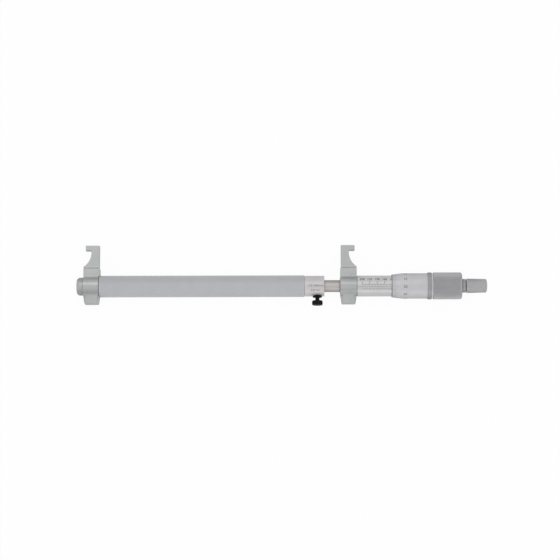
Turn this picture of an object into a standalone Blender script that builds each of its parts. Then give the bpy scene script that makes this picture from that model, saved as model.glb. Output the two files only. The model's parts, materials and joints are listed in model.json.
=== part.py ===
"""Inside micrometer with caliper jaws, for bores of 175 to 200 mm, lying as it comes to rest.

Sizes are in metres. The tool's own frame has its origin on its axis, at the left measuring face.
X runs along the axis to the ratchet, Y to the tips of the jaws and Z out of the jaws' faces.
The left jaw, its tube, the spindle and the thimble travel together along X past the right jaw.
"""
import math

import bmesh
import bpy
from mathutils import Vector

MM = 0.001

# The distance over the measuring faces as the tool lies, and the travel left each way
READING = 180.2 * MM
CLOSING_TRAVEL = 5.2 * MM
OPENING_TRAVEL = 19.8 * MM

# Clearances
FIT = 0.3 * MM
END_FLOAT = 0.5 * MM
SPINDLE_ROOM = 1.0 * MM

# Jaws, measured from the measuring face inwards and from the axis up and down
TIP_HEIGHT = 27.4 * MM
NIB_HEIGHT = 3.2 * MM
NIB_REACH = 3.95 * MM
NIB_CORNER = 0.5 * MM
LAND_BEVEL = 1.1 * MM
LAND_DROP = 0.35 * MM
ARM_DEPTH = 9.3 * MM
ARM_THICK = 6.0 * MM
RELIEF_RADIUS = 11.8 * MM
RELIEF_DROP = 1.4 * MM
BLOCK_PROUD = 1.25 * MM
BLOCK_STEP = 0.4 * MM
BLOCK_THICK = 8.0 * MM
BLOCK_TOP = 11.6 * MM
STEP_FILLET = 2.3 * MM
STUB_SHOULDER = 6.6 * MM
STUB_LENGTH = 5.3 * MM
STUB_TAPER = 0.7 * MM
STUB_CORNER = 0.7 * MM
STUB_CHAMFER = 1.9 * MM
STUB_CHAMFER_DEPTH = 1.2 * MM
JAW_EDGE = 0.25 * MM
FAIRING_SUNK = 0.03 * MM

# Bosses that the jaws carry on the axis
BOSS_D = 12.0 * MM
SWELL_D = 14.0 * MM
SWELL_BLEND = 3.0 * MM
BOSS_STEP = 0.25 * MM
BOSS_EDGE = 0.45 * MM
BOSS_REACH = 4.75 * MM
BOSS_ROUND = 2.3 * MM
BOSS_CROWN = 0.3 * MM
RIGHT_BOSS_REACH = 0.3 * MM
RIGHT_BOSS_D = 13.4 * MM

# Long tube of the left jaw
TUBE_D = 14.5 * MM
TUBE_WALL = 1.4 * MM
TUBE_SEAT_DEPTH = 0.8 * MM
TUBE_STANDOFF = 0.35 * MM
TUBE_EDGE = 0.35 * MM
TUBE_PLUG = 6.0 * MM
SPIGOT_D = 9.0 * MM
SPIGOT_LENGTH = 12.0 * MM

# Collar at the tube's open end
COLLAR_D = 13.8 * MM
COLLAR_LENGTH = 13.1 * MM
COLLAR_EDGE = 0.25 * MM
COLLAR_SPIGOT_LENGTH = 8.0 * MM
CLOSED_GAP = 5.2 * MM

# Guide rod of the right jaw, hollow for the push rod, with a keyway
ROD_D = 8.0 * MM
ROD_IN_TUBE = 70.0 * MM
ROD_SEAT = 4.5 * MM
ROD_EDGE = 0.4 * MM
KEYWAY_WIDTH = 2.2 * MM
KEYWAY_DEPTH = 1.0 * MM
KEYWAY_SPARE = 3.0 * MM
KEY_FROM_SHOULDER = 4.2 * MM
KEY_SCREW_D = 2.6 * MM
KEY_SCREW_SUNK = 0.3 * MM

# Clamp screw and its pad, on the collar's lower side
CLAMP_FROM_END = 4.7 * MM
CLAMP_SHANK_D = 2.6 * MM
CLAMP_PAD_THICK = 0.8 * MM
CLAMP_SEAT_SUNK = 0.5 * MM
CLAMP_FLANGE_D = 6.6 * MM
CLAMP_FLANGE_THICK = 1.0 * MM
CLAMP_NECK_D = 2.8 * MM
CLAMP_NECK_LENGTH = 2.3 * MM
CLAMP_HEAD_D = 7.1 * MM
CLAMP_HEAD_THICK = 2.9 * MM
CLAMP_GROOVES = 20
CLAMP_GROOVE_DEPTH = 0.25 * MM

# Push rod and its thrust bearing at the closed end of the tube
PUSH_ROD_D = 3.6 * MM
PUSH_FLANGE_D = 6.6 * MM
PUSH_FLANGE_THICK = 2.0 * MM
PUSH_TAIL_D = 2.4 * MM
PUSH_TAIL_LENGTH = 7.5 * MM
THRUST_SEAT_THICK = 3.0 * MM
RETAINER_LENGTH = 6.0 * MM
SPANNER_SLOT = 1.0 * MM

# Inner sleeve with the spindle nut, and the adjusting nut on its split end
INNER_SLEEVE_D = 9.4 * MM
NUT_LENGTH = 14.0 * MM
NUT_RELIEF = 0.3 * MM
SLIT_WIDTH = 0.7 * MM
SLIT_LENGTH = 12.0 * MM
SLIT_COUNT = 3
ADJUSTER_D = 12.4 * MM
ADJUSTER_LENGTH = 6.6 * MM

# Graduated sleeve, measured from the right measuring face
SLEEVE_D = 14.0 * MM
SLEEVE_GAP = 0.3 * MM
SLEEVE_COVER = 8.6 * MM
FIRST_MARK = 4.8 * MM
SPANNER_HOLE_D = 1.4 * MM

# Spindle
SCREW_D = 7.0 * MM
SHANK_D = 5.6 * MM
TAPER_DROP = 0.4 * MM
SPINDLE_TAPER_D = 6.4 * MM
SPINDLE_TAIL_D = 4.0 * MM
SPINDLE_TAIL_LENGTH = 3.2 * MM

# Thimble
THIMBLE_EDGE_D = 15.2 * MM
THIMBLE_D = 17.0 * MM
GRIP_D = 18.0 * MM
CONE_LENGTH = 6.5 * MM
BARREL_LENGTH = 17.4 * MM
BAND_LENGTH = 2.8 * MM
GROOVE_LENGTH = 0.8 * MM
GROOVE_DEPTH = 0.5 * MM
GRIP_LENGTH = 19.4 * MM
GRIP_ROUND = 1.3 * MM
THIMBLE_WALL = 3.6 * MM
KNURL_RIBS = 54
KNURL_DEPTH = 0.3 * MM

# Thimble nut and ratchet
NECK_D = 9.1 * MM
NECK_LENGTH = 2.2 * MM
TOOTH_HUB_D = 6.4 * MM
TOOTH_HUB_LENGTH = 2.0 * MM
RATCHET_TEETH = 10
TOOTH_HEIGHT = 0.6 * MM
PAWL_D = 6.8 * MM
PAWL_THICK = 2.2 * MM
PAWL_LUG = 0.5 * MM
PAWL_LUG_WIDTH = 1.6 * MM
SPRING_D = 4.8 * MM
SPRING_WIRE_D = 0.5 * MM
SPRING_LENGTH = 4.0 * MM
SPRING_TURNS = 4
KNOB_D = 9.6 * MM
KNOB_END_D = 9.1 * MM
KNOB_GAP = 0.4 * MM
HEAD_POCKET = 3.2 * MM
HEAD_SUNK = 0.5 * MM
KNOB_EDGE = 0.4 * MM
KNOB_ROUND = 0.9 * MM
KNOB_CROWN = 0.25 * MM
KNOB_WALL = 2.0 * MM
RATCHET_SCREW_D = 1.8 * MM
RATCHET_SCREW_GRIP = 5.0 * MM
RATCHET_HEAD_D = 4.6 * MM
SLOT_WIDTH = 0.6 * MM
SLOT_DEPTH = 0.5 * MM

# Facets round a full turn, for large, middling and small pieces
COARSE = 24
MIDDLE = 32
FINE = 40
# Points closer than this are one
MERGE = 0.00001

# Ends of the tool's range
RANGE_LOW = READING - CLOSING_TRAVEL
RANGE_HIGH = READING + OPENING_TRAVEL

# Places along the axis that several pieces share
BLOCK_IN = ARM_DEPTH + BLOCK_STEP
BOSS_IN = BLOCK_IN + BOSS_STEP
TUBE_SEAT = BLOCK_IN - TUBE_SEAT_DEPTH
TUBE_START = TUBE_SEAT + TUBE_STANDOFF
COLLAR_END = RANGE_LOW - BOSS_IN - CLOSED_GAP
COLLAR_START = COLLAR_END - COLLAR_LENGTH
TUBE_END = COLLAR_START - FIT
TUBE_BORE_END = TUBE_START + TUBE_PLUG
CLAMP_X = COLLAR_END - CLAMP_FROM_END
KEY_X = COLLAR_START + KEY_FROM_SHOULDER
ROD_END = READING - BOSS_IN + ROD_SEAT
ROD_START = COLLAR_END - ROD_IN_TUBE
THIMBLE_START = RANGE_HIGH + FIRST_MARK
BAND_START = THIMBLE_START + CONE_LENGTH + BARREL_LENGTH
GRIP_START = BAND_START + BAND_LENGTH + GROOVE_LENGTH
THIMBLE_END = GRIP_START + GRIP_LENGTH
THIMBLE_FLOOR = THIMBLE_END - THIMBLE_WALL
INNER_SLEEVE_END = THIMBLE_FLOOR - OPENING_TRAVEL - END_FLOAT
NUT_START = INNER_SLEEVE_END - NUT_LENGTH
SLEEVE_START = READING + BLOCK_PROUD + RIGHT_BOSS_REACH + SLEEVE_GAP
SLEEVE_END = READING + FIRST_MARK + (RANGE_HIGH - RANGE_LOW) + SLEEVE_COVER
THREAD_START = NUT_START - CLOSING_TRAVEL
SPINDLE_START = ROD_END + OPENING_TRAVEL + SPINDLE_ROOM
NECK_START = THIMBLE_END + FIT
HUB_START = NECK_START + NECK_LENGTH
HUB_END = HUB_START + TOOTH_HUB_LENGTH
KNOB_START = HUB_START + KNOB_GAP
PAWL_START = HUB_END + FIT
PAWL_END = PAWL_START + PAWL_THICK
SPRING_START = PAWL_END + FIT
CAVITY_END = SPRING_START + SPRING_LENGTH + FIT
HEAD_SEAT = CAVITY_END + KNOB_WALL
KNOB_END = HEAD_SEAT + HEAD_POCKET

# Radii of the bores that pieces share
TUBE_BORE_R = TUBE_D / 2 - TUBE_WALL
ROD_HOLE_R = ROD_D / 2 + FIT
ROD_BORE_R = PUSH_ROD_D / 2 + FIT
SLEEVE_BORE_R = INNER_SLEEVE_D / 2 + FIT
NUT_BORE_R = SCREW_D / 2 + FIT
GUIDE_BORE_R = SHANK_D / 2 + FIT
KNOB_BORE_R = PAWL_D / 2 + FIT
SCREW_HOLE_R = RATCHET_SCREW_D / 2 + FIT

# Rotations that turn an object's own Z to the tool's X, to -Y and to -Z
ALONG_X = (0, math.pi / 2, 0)
ALONG_MINUS_Y = (math.pi / 2, 0, 0)
ALONG_MINUS_Z = (math.pi, 0, 0)
# Rotations that stand an outline of (Y, Z) points along X, and one of (X, Z) points along Y
SECTION_ALONG_X = (math.pi / 2, 0, math.pi / 2)
PLAN_ALONG_Y = (math.pi / 2, 0, 0)


def clear_scene():
    """Remove every object, and the meshes and curves left without one."""
    for thing in list(bpy.data.objects):
        bpy.data.objects.remove(thing, do_unlink=True)
    for group in (bpy.data.meshes, bpy.data.curves, bpy.data.materials, bpy.data.collections):
        for block in list(group):
            group.remove(block)


def material(name, colour, roughness, metallic):
    """A Principled material of one colour."""
    made = bpy.data.materials.new(name)
    made.use_nodes = True
    shader = made.node_tree.nodes["Principled BSDF"]
    shader.inputs["Base Color"].default_value = (*colour, 1.0)
    shader.inputs["Roughness"].default_value = roughness
    shader.inputs["Metallic"].default_value = metallic
    made.diffuse_color = (*colour, 1.0)
    return made


def place(name, mesh, look=None, at=(0, 0, 0), turn=(0, 0, 0)):
    """Put a mesh in the tool's frame, as a piece when it has a look and as a cutter when it has none."""
    thing = bpy.data.objects.new(name, mesh)
    thing.parent = TOOL
    thing.location = at
    thing.rotation_euler = turn
    if look is None:
        CUTTERS.objects.link(thing)
        thing.hide_render = True
        thing.display_type = "WIRE"
    else:
        PIECES.objects.link(thing)
        mesh.materials.clear()
        mesh.materials.append(look)
    return thing


def evaluated_mesh(thing, name):
    """The mesh that an object's modifiers make."""
    bpy.context.view_layer.update()
    graph = bpy.context.evaluated_depsgraph_get()
    mesh = bpy.data.meshes.new_from_object(thing.evaluated_get(graph))
    mesh.name = name
    return mesh


def smooth(mesh, angle=math.radians(35)):
    """Shade a mesh smooth, with its corners kept sharp."""
    mesh.shade_smooth()
    mesh.set_sharp_from_angle(angle=angle)
    return mesh


def turned_mesh(name, outline, steps):
    """Spin (distance along the axis, radius) points about Z.

    The outline goes up a bore that opens at the far end, down the outer side, and up a bore that
    opens at the near end. It closes on itself, unless it starts and ends on the axis.
    """
    profile = bpy.data.meshes.new(name + " profile")
    points = [(radius, 0, along) for along, radius in outline]
    edges = [(i, i + 1) for i in range(len(points) - 1)]
    if outline[0][1] > 0:
        edges.append((len(points) - 1, 0))
    profile.from_pydata(points, edges, [])
    spun = bpy.data.objects.new(name + " profile", profile)
    PIECES.objects.link(spun)
    screw = spun.modifiers.new("Screw", "SCREW")
    screw.axis = "Z"
    screw.steps = steps
    screw.render_steps = steps
    screw.use_merge_vertices = True
    screw.merge_threshold = MERGE
    mesh = evaluated_mesh(spun, name)
    bpy.data.objects.remove(spun, do_unlink=True)
    bpy.data.meshes.remove(profile)
    return smooth(mesh)


def turned(name, outline, look=None, steps=MIDDLE, at=(0, 0, 0), turn=ALONG_X):
    """A turned piece or cutter, with its origin on its axis."""
    return place(name, turned_mesh(name, outline, steps), look, at, turn)


def outline_mesh(name, loops, half_thickness):
    """A flat outline, with any further loops as holes in it, extruded both ways along Z."""
    curve = bpy.data.curves.new(name, "CURVE")
    curve.dimensions = "2D"
    curve.fill_mode = "BOTH"
    curve.extrude = half_thickness
    for loop in loops:
        spline = curve.splines.new("POLY")
        spline.points.add(len(loop) - 1)
        for point, (x, y) in zip(spline.points, loop):
            point.co = (x, y, 0, 1)
        spline.use_cyclic_u = True
    flat = bpy.data.objects.new(name, curve)
    PIECES.objects.link(flat)
    mesh = evaluated_mesh(flat, name)
    bpy.data.objects.remove(flat, do_unlink=True)
    bpy.data.curves.remove(curve)
    weld(mesh)
    return mesh


def weld(mesh):
    """Join the loose caps of a converted curve to its walls."""
    work = bmesh.new()
    work.from_mesh(mesh)
    bmesh.ops.remove_doubles(work, verts=work.verts, dist=MERGE / 10)
    bmesh.ops.recalc_face_normals(work, faces=work.faces)
    work.to_mesh(mesh)
    work.free()


def box(name, low, high, at=(0, 0, 0), turn=(0, 0, 0)):
    """A box-shaped cutter between two corners."""
    work = bmesh.new()
    bmesh.ops.create_cube(work, size=1.0)
    low, high = Vector(low), Vector(high)
    for vertex in work.verts:
        share = vertex.co + Vector((0.5, 0.5, 0.5))
        vertex.co = low + share * (high - low)
    mesh = bpy.data.meshes.new(name)
    work.to_mesh(mesh)
    work.free()
    return place(name, mesh, None, at, turn)


def combine(target, tool, operation="DIFFERENCE"):
    """Cut one object with another, or join it on."""
    modifier = target.modifiers.new(operation.title() + " " + tool.name, "BOOLEAN")
    modifier.operation = operation
    modifier.solver = "EXACT"
    modifier.object = tool


def arc(centre, radius, start, end, count):
    """Points on an arc, from one angle to another, in degrees."""
    points = []
    for i in range(count + 1):
        angle = math.radians(start + (end - start) * i / count)
        points.append((centre[0] + radius * math.cos(angle), centre[1] + radius * math.sin(angle)))
    return points


def jaw_outline():
    """Front outline of a jaw: (depth inwards from the measuring face, height above the axis)."""
    nib_under = TIP_HEIGHT - NIB_HEIGHT
    relief_centre = (NIB_REACH - RELIEF_RADIUS, nib_under - RELIEF_DROP)
    run_out = math.degrees(math.acos((-BLOCK_PROUD - relief_centre[0]) / RELIEF_RADIUS))
    relief = arc(relief_centre, RELIEF_RADIUS, -run_out, 0, 10)
    nib_corner = arc((NIB_REACH - NIB_CORNER, nib_under - NIB_CORNER), NIB_CORNER, 0, 90, 3)
    stub_end = -STUB_SHOULDER - STUB_LENGTH
    inner, outer = BLOCK_IN - STUB_TAPER, STUB_TAPER - BLOCK_PROUD
    lower_right = arc((inner - STUB_CORNER, stub_end + STUB_CORNER), STUB_CORNER, 0, -90, 3)
    lower_left = arc((outer + STUB_CORNER, stub_end + STUB_CORNER), STUB_CORNER, -90, -180, 3)
    return [
        (0, TIP_HEIGHT),
        (ARM_DEPTH, TIP_HEIGHT),
        (ARM_DEPTH, BLOCK_TOP + BLOCK_STEP),
        (BLOCK_IN, BLOCK_TOP),
        (BLOCK_IN, -STUB_SHOULDER),
        *lower_right,
        *lower_left,
        (-BLOCK_PROUD, -STUB_SHOULDER),
        *relief,
        *nib_corner,
        (0, nib_under),
    ]


def arm_recess_outline():
    """Side outline of what is milled off a jaw above its block: (height, distance from mid-plane)."""
    clear = BLOCK_THICK
    drop = (BLOCK_THICK - ARM_THICK) / 2
    swing = math.degrees(math.acos(1 - drop / STEP_FILLET))
    foot = BLOCK_TOP + STEP_FILLET * math.sin(math.radians(swing))
    fillet = arc((foot, ARM_THICK / 2 + STEP_FILLET), STEP_FILLET, 270 - swing, 270, 5)
    return [
        (BLOCK_TOP, clear),
        *fillet,
        (TIP_HEIGHT + clear, ARM_THICK / 2),
        (TIP_HEIGHT + clear, clear),
    ]


def fairing_outline():
    """Section of a jaw's block where it swells round the boss: (height, distance from mid-plane).

    Its fillets start a little inside the block.
    """
    radius, half = SWELL_D / 2, BLOCK_THICK / 2 - FAIRING_SUNK
    foot = math.sqrt((radius + SWELL_BLEND) ** 2 - (half + SWELL_BLEND) ** 2)
    lean = math.degrees(math.atan2(half + SWELL_BLEND, foot))
    core = half - JAW_EDGE
    near = arc((foot, half + SWELL_BLEND), SWELL_BLEND, 270, 180 + lean, 4)
    crown = arc((0, 0), radius, lean, 180 - lean, 8)
    far = [(-y, z) for y, z in reversed(near)]
    upper = [(foot, core), *near, *crown, *far, (-foot, core)]
    return upper + [(y, -z) for y, z in reversed(upper)]


def jaw(name, face, side, boss, look):
    """A jaw, one forging: measuring nib, relieved arm, thicker block, boss on the axis and lower stub.

    face is where its measuring face lies, and side is +1 when the tool's middle lies towards +X.
    """
    outline = [(face + side * depth, height) for depth, height in jaw_outline()]
    body = place(name, outline_mesh(name, [outline], BLOCK_THICK / 2), look)
    middle = face + side * (BLOCK_IN - BLOCK_PROUD) / 2
    reach = ARM_DEPTH + BLOCK_THICK
    for sign in (1, -1):
        section = [(height, sign * offset) for height, offset in arm_recess_outline()]
        recess = outline_mesh(name + " recess", [section], reach)
        combine(body, place(name + " recess", recess, None, (middle, 0, 0), SECTION_ALONG_X))
    break_edges(body)
    for sign in (1, -1):
        for edge, inward in ((face - side * BLOCK_PROUD, side), (face + side * BLOCK_IN, -side)):
            combine(body, stub_chamfer(name, edge, inward, sign))
        combine(body, land_bevel(name, face, side, sign))
    width = (BLOCK_IN + BLOCK_PROUD) / 2 - JAW_EDGE
    fairing = outline_mesh(name + " fairing", [fairing_outline()], width)
    combine(body, place(name + " fairing", fairing, None, (middle, 0, 0), SECTION_ALONG_X), "UNION")
    points = [(face + side * depth, radius) for depth, radius in boss]
    if side > 0:
        points.reverse()
    combine(body, turned(name + " boss", points, steps=FINE), "UNION")
    return body


def break_edges(body):
    """Take the sharpness off a forging's edges, once slivers shorter than a fifth of that are gone."""
    slivers = body.modifiers.new("Slivers", "WELD")
    slivers.merge_threshold = JAW_EDGE / 5
    rounding = body.modifiers.new("Broken edges", "BEVEL")
    rounding.width = JAW_EDGE
    rounding.segments = 1
    rounding.limit_method = "ANGLE"
    rounding.angle_limit = math.radians(40)
    rounding.use_clamp_overlap = False


def stub_chamfer(name, edge, inward, sign):
    """A wedge that takes the corner off one side of a jaw's stub, below the boss."""
    half = BLOCK_THICK / 2
    rise = STUB_CHAMFER_DEPTH / STUB_CHAMFER
    spare = BLOCK_THICK
    wedge = [
        (edge + inward * STUB_CHAMFER, sign * half),
        (edge - inward * spare, sign * (half - STUB_CHAMFER_DEPTH - rise * spare)),
        (edge - inward * spare, sign * (half + spare)),
        (edge + inward * STUB_CHAMFER, sign * (half + spare)),
    ]
    mesh = outline_mesh(name + " chamfer", [wedge], STUB_LENGTH)
    return place(name + " chamfer", mesh, None, (0, -STUB_SHOULDER - STUB_LENGTH, 0), PLAN_ALONG_Y)


def land_bevel(name, face, side, sign):
    """A wedge that narrows the measuring face to a flat land between two sloping sides."""
    half = ARM_THICK / 2
    slope = LAND_DROP / LAND_BEVEL
    spare = ARM_THICK
    wedge = [
        (face, sign * (half - LAND_BEVEL)),
        (face + side * slope * (LAND_BEVEL + spare), sign * (half + spare)),
        (face - side * spare, sign * (half + spare)),
        (face - side * spare, sign * (half - LAND_BEVEL)),
    ]
    mesh = outline_mesh(name + " land", [wedge], NIB_HEIGHT + JAW_EDGE)
    return place(name + " land", mesh, None, (0, TIP_HEIGHT, 0), PLAN_ALONG_Y)


def left_jaw(look):
    """The travelling jaw, with a closed, rounded boss, a bore for the tube's spigot and a tube seat."""
    radius = BOSS_D / 2
    end = -BLOCK_PROUD - BOSS_REACH
    corner = arc((end + BOSS_CROWN + BOSS_ROUND, radius - BOSS_ROUND), BOSS_ROUND, 180, 90, 6)
    boss = [(end, 0), *corner, (TUBE_START, radius), (TUBE_START, 0)]
    body = jaw("left_jaw", 0, 1, boss, look)
    seat_r = TUBE_D / 2 + FIT
    far = BOSS_IN + FIT
    seat = [(far, 0), (far, seat_r), (TUBE_SEAT, seat_r), (TUBE_SEAT, 0)]
    combine(body, turned("tube seat", seat, steps=FINE))
    bore_r = SPIGOT_D / 2 + FIT
    bottom = TUBE_START - SPIGOT_LENGTH - FIT
    bore = [(TUBE_START, 0), (TUBE_START, bore_r), (bottom, bore_r), (bottom, 0)]
    combine(body, turned("spigot bore", bore))
    return body


def right_jaw(look):
    """The fixed jaw, bored right through for the guide rod and the inner sleeve."""
    radius = BOSS_D / 2
    end = -BLOCK_PROUD - RIGHT_BOSS_REACH
    sleeve_side = RIGHT_BOSS_D / 2
    boss = [
        (end, 0),
        (end, sleeve_side - JAW_EDGE),
        (end + JAW_EDGE, sleeve_side),
        (0, sleeve_side),
        (0, radius),
        (BOSS_IN - BOSS_EDGE, radius),
        (BOSS_IN, radius - BOSS_EDGE),
        (BOSS_IN, 0),
    ]
    body = jaw("right_jaw", READING, -1, boss, look)
    near = READING - BOSS_IN - FIT
    far = READING - end + FIT
    shoulder = ROD_END + FIT
    bore = [
        (far, 0),
        (far, SLEEVE_BORE_R),
        (shoulder, SLEEVE_BORE_R),
        (shoulder, ROD_HOLE_R),
        (near, ROD_HOLE_R),
        (near, 0),
    ]
    combine(body, turned("jaw bore", bore))
    return body


def guide_tube(look):
    """The long tube of the left jaw, closed at its jaw end by a plug with a spigot."""
    radius = TUBE_D / 2
    outline = [
        (TUBE_BORE_END, 0),
        (TUBE_BORE_END, TUBE_BORE_R),
        (TUBE_END, TUBE_BORE_R),
        (TUBE_END, radius - TUBE_EDGE),
        (TUBE_END - TUBE_EDGE, radius),
        (TUBE_START + TUBE_EDGE, radius),
        (TUBE_START, radius - TUBE_EDGE),
        (TUBE_START, SPIGOT_D / 2),
        (TUBE_START - SPIGOT_LENGTH, SPIGOT_D / 2),
        (TUBE_START - SPIGOT_LENGTH, 0),
    ]
    return turned("guide_tube", outline, look, FINE)


def range_collar(look):
    """The collar that guides the rod, with a seat for the clamp screw and a hole for the key screw."""
    radius = COLLAR_D / 2
    spigot = TUBE_END - COLLAR_SPIGOT_LENGTH
    spigot_r = TUBE_BORE_R - FIT
    outline = [
        (spigot, ROD_HOLE_R),
        (COLLAR_END, ROD_HOLE_R),
        (COLLAR_END, radius - COLLAR_EDGE),
        (COLLAR_END - COLLAR_EDGE, radius),
        (COLLAR_START + COLLAR_EDGE, radius),
        (COLLAR_START, radius - COLLAR_EDGE),
        (COLLAR_START, spigot_r),
        (spigot, spigot_r),
    ]
    body = turned("range_collar", outline, look, FINE)
    seat = radius - CLAMP_SEAT_SUNK
    seat_r = CLAMP_FLANGE_D / 2 + FIT
    hole_r = CLAMP_SHANK_D / 2 + FIT
    bottom = ROD_D / 4
    clamp_hole = [
        (COLLAR_D, 0),
        (COLLAR_D, seat_r),
        (seat, seat_r),
        (seat, hole_r),
        (bottom, hole_r),
        (bottom, 0),
    ]
    combine(body, turned("clamp hole", clamp_hole, None, COARSE, (CLAMP_X, 0, 0), ALONG_MINUS_Y))
    key_r = KEY_SCREW_D / 2 + FIT
    key_hole = [(COLLAR_D, 0), (COLLAR_D, key_r), (bottom, key_r), (bottom, 0)]
    combine(body, turned("key hole", key_hole, None, COARSE, (KEY_X, 0, 0), ALONG_MINUS_Z))
    return body


def key_screw(look):
    """A grub screw under the collar, whose plain tip runs in the rod's keyway and stops it turning."""
    top = COLLAR_D / 2 - KEY_SCREW_SUNK
    tip_r = KEYWAY_WIDTH / 2 - FIT
    bottom = ROD_D / 2 - KEYWAY_DEPTH + FIT
    neck = ROD_D / 2 + FIT
    outline = [
        (top, 0),
        (top, KEY_SCREW_D / 2),
        (neck, KEY_SCREW_D / 2),
        (neck, tip_r),
        (bottom, tip_r),
        (bottom, 0),
    ]
    body = turned("key_screw", outline, look, COARSE, (KEY_X, 0, 0), ALONG_MINUS_Z)
    reach = KEY_SCREW_D
    low = (KEY_X - reach, -SLOT_WIDTH / 2, -top - reach)
    high = (KEY_X + reach, SLOT_WIDTH / 2, -top + SLOT_DEPTH)
    combine(body, box("key screw slot", low, high))
    return body


def clamp_pad(look):
    """The soft pad between the clamp screw and the guide rod."""
    inner = ROD_D / 2 + FIT
    outer = inner + CLAMP_PAD_THICK
    radius = CLAMP_SHANK_D / 2
    outline = [(outer, 0), (outer, radius), (inner, radius), (inner, 0)]
    return turned("clamp_pad", outline, look, COARSE, (CLAMP_X, 0, 0), ALONG_MINUS_Y)


def clamp_screw(look):
    """The black clamp screw: shank in the collar, flange, waist and a grooved head."""
    shank_end = ROD_D / 2 + FIT + CLAMP_PAD_THICK + FIT
    flange = COLLAR_D / 2 - CLAMP_SEAT_SUNK + FIT
    waist = flange + CLAMP_FLANGE_THICK
    head = waist + CLAMP_NECK_LENGTH
    end = head + CLAMP_HEAD_THICK
    head_r = CLAMP_HEAD_D / 2
    edge = CLAMP_GROOVE_DEPTH
    outline = [
        (end, 0),
        (end, head_r - edge),
        (end - edge, head_r),
        (head + edge, head_r),
        (head, head_r - edge),
        (head, CLAMP_NECK_D / 2),
        (waist, CLAMP_NECK_D / 2),
        (waist, CLAMP_FLANGE_D / 2),
        (flange, CLAMP_FLANGE_D / 2),
        (flange, CLAMP_SHANK_D / 2),
        (shank_end, CLAMP_SHANK_D / 2),
        (shank_end, 0),
    ]
    body = turned("clamp_screw", outline, look, CLAMP_GROOVES * 2, (CLAMP_X, 0, 0), ALONG_MINUS_Y)
    half = CLAMP_HEAD_THICK / 2
    cutter = groove_ring("clamp grooves", head_r, CLAMP_GROOVES, CLAMP_GROOVE_DEPTH, half)
    middle = (head + end) / 2
    combine(body, place("clamp grooves", cutter, None, (CLAMP_X, -middle, 0), ALONG_MINUS_Y))
    return body


def groove_ring(name, radius, count, depth, half_length):
    """A ring-shaped cutter that leaves ribs: its hole is a star whose inward points cut grooves."""
    star = []
    clear = radius + depth
    for i in range(count):
        ridge = 2 * math.pi * i / count
        valley = ridge + math.pi / count
        star.append((clear * math.cos(ridge), clear * math.sin(ridge)))
        star.append(((radius - depth) * math.cos(valley), (radius - depth) * math.sin(valley)))
    rim = arc((0, 0), radius + 4 * depth, 0, 360 - 360 / COARSE, COARSE - 1)
    return outline_mesh(name, [rim, star], half_length)


def guide_rod(look):
    """The ground rod, hollow for the push rod, with a keyway along its underside."""
    radius = ROD_D / 2
    outline = [
        (ROD_START, ROD_BORE_R),
        (ROD_END, ROD_BORE_R),
        (ROD_END, radius - ROD_EDGE),
        (ROD_END - ROD_EDGE, radius),
        (ROD_START + ROD_EDGE, radius),
        (ROD_START, radius - ROD_EDGE),
    ]
    body = turned("guide_rod", outline, look, MIDDLE)
    floor = -radius + KEYWAY_DEPTH
    low = (KEY_X - OPENING_TRAVEL - KEYWAY_SPARE, -KEYWAY_WIDTH / 2, -ROD_D)
    high = (KEY_X + CLOSING_TRAVEL + KEYWAY_SPARE, KEYWAY_WIDTH / 2, floor)
    combine(body, box("keyway", low, high))
    return body


def thrust_seat(look):
    """The hardened disc that takes the push rod's thrust."""
    start = TUBE_BORE_END + FIT
    end = start + THRUST_SEAT_THICK
    radius = TUBE_BORE_R - FIT
    return turned("thrust_seat", [(end, 0), (end, radius), (start, radius), (start, 0)], look, COARSE)


def push_rod(look):
    """The rod that carries the spindle's travel down the guide rod to the left jaw."""
    start = TUBE_BORE_END + 2 * FIT + THRUST_SEAT_THICK
    end = SPINDLE_START - FIT
    radius = PUSH_ROD_D / 2
    outline = [
        (end + PUSH_TAIL_LENGTH, 0),
        (end + PUSH_TAIL_LENGTH, PUSH_TAIL_D / 2),
        (end, PUSH_TAIL_D / 2),
        (end, radius),
        (start + PUSH_FLANGE_THICK, radius),
        (start + PUSH_FLANGE_THICK, PUSH_FLANGE_D / 2),
        (start, PUSH_FLANGE_D / 2),
        (start, 0),
    ]
    return turned("push_rod", outline, look, COARSE)


def retaining_nut(look):
    """The ring nut that holds the push rod's flange against its seat."""
    start = TUBE_BORE_END + 3 * FIT + THRUST_SEAT_THICK + PUSH_FLANGE_THICK
    end = start + RETAINER_LENGTH
    radius = TUBE_BORE_R - FIT
    outline = [(start, ROD_BORE_R), (end, ROD_BORE_R), (end, radius), (start, radius)]
    body = turned("retaining_nut", outline, look, COARSE)
    low = (end - SPANNER_SLOT, -radius * 2, -SPANNER_SLOT / 2)
    high = (end + SPANNER_SLOT, radius * 2, SPANNER_SLOT / 2)
    combine(body, box("retaining nut slot", low, high))
    return body


def inner_sleeve(look):
    """The sleeve fixed in the right jaw, whose split end is the spindle's nut."""
    start = ROD_END + 2 * FIT
    end = INNER_SLEEVE_END
    radius = INNER_SLEEVE_D / 2
    relief = THREAD_START - OPENING_TRAVEL - FIT
    relief_r = NUT_BORE_R + NUT_RELIEF
    outline = [
        (start, GUIDE_BORE_R),
        (relief, GUIDE_BORE_R),
        (relief, relief_r),
        (NUT_START, relief_r),
        (NUT_START, NUT_BORE_R),
        (end, NUT_BORE_R),
        (end, radius - FIT),
        (end - FIT, radius),
        (start, radius),
    ]
    body = turned("inner_sleeve", outline, look, MIDDLE)
    for i in range(SLIT_COUNT):
        low = (end - SLIT_LENGTH, -SLIT_WIDTH / 2, 0)
        high = (end + SLIT_LENGTH, SLIT_WIDTH / 2, INNER_SLEEVE_D)
        turn = (math.radians(30) + 2 * math.pi * i / SLIT_COUNT, 0, 0)
        combine(body, box("nut slit", low, high, turn=turn))
    return body


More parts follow.
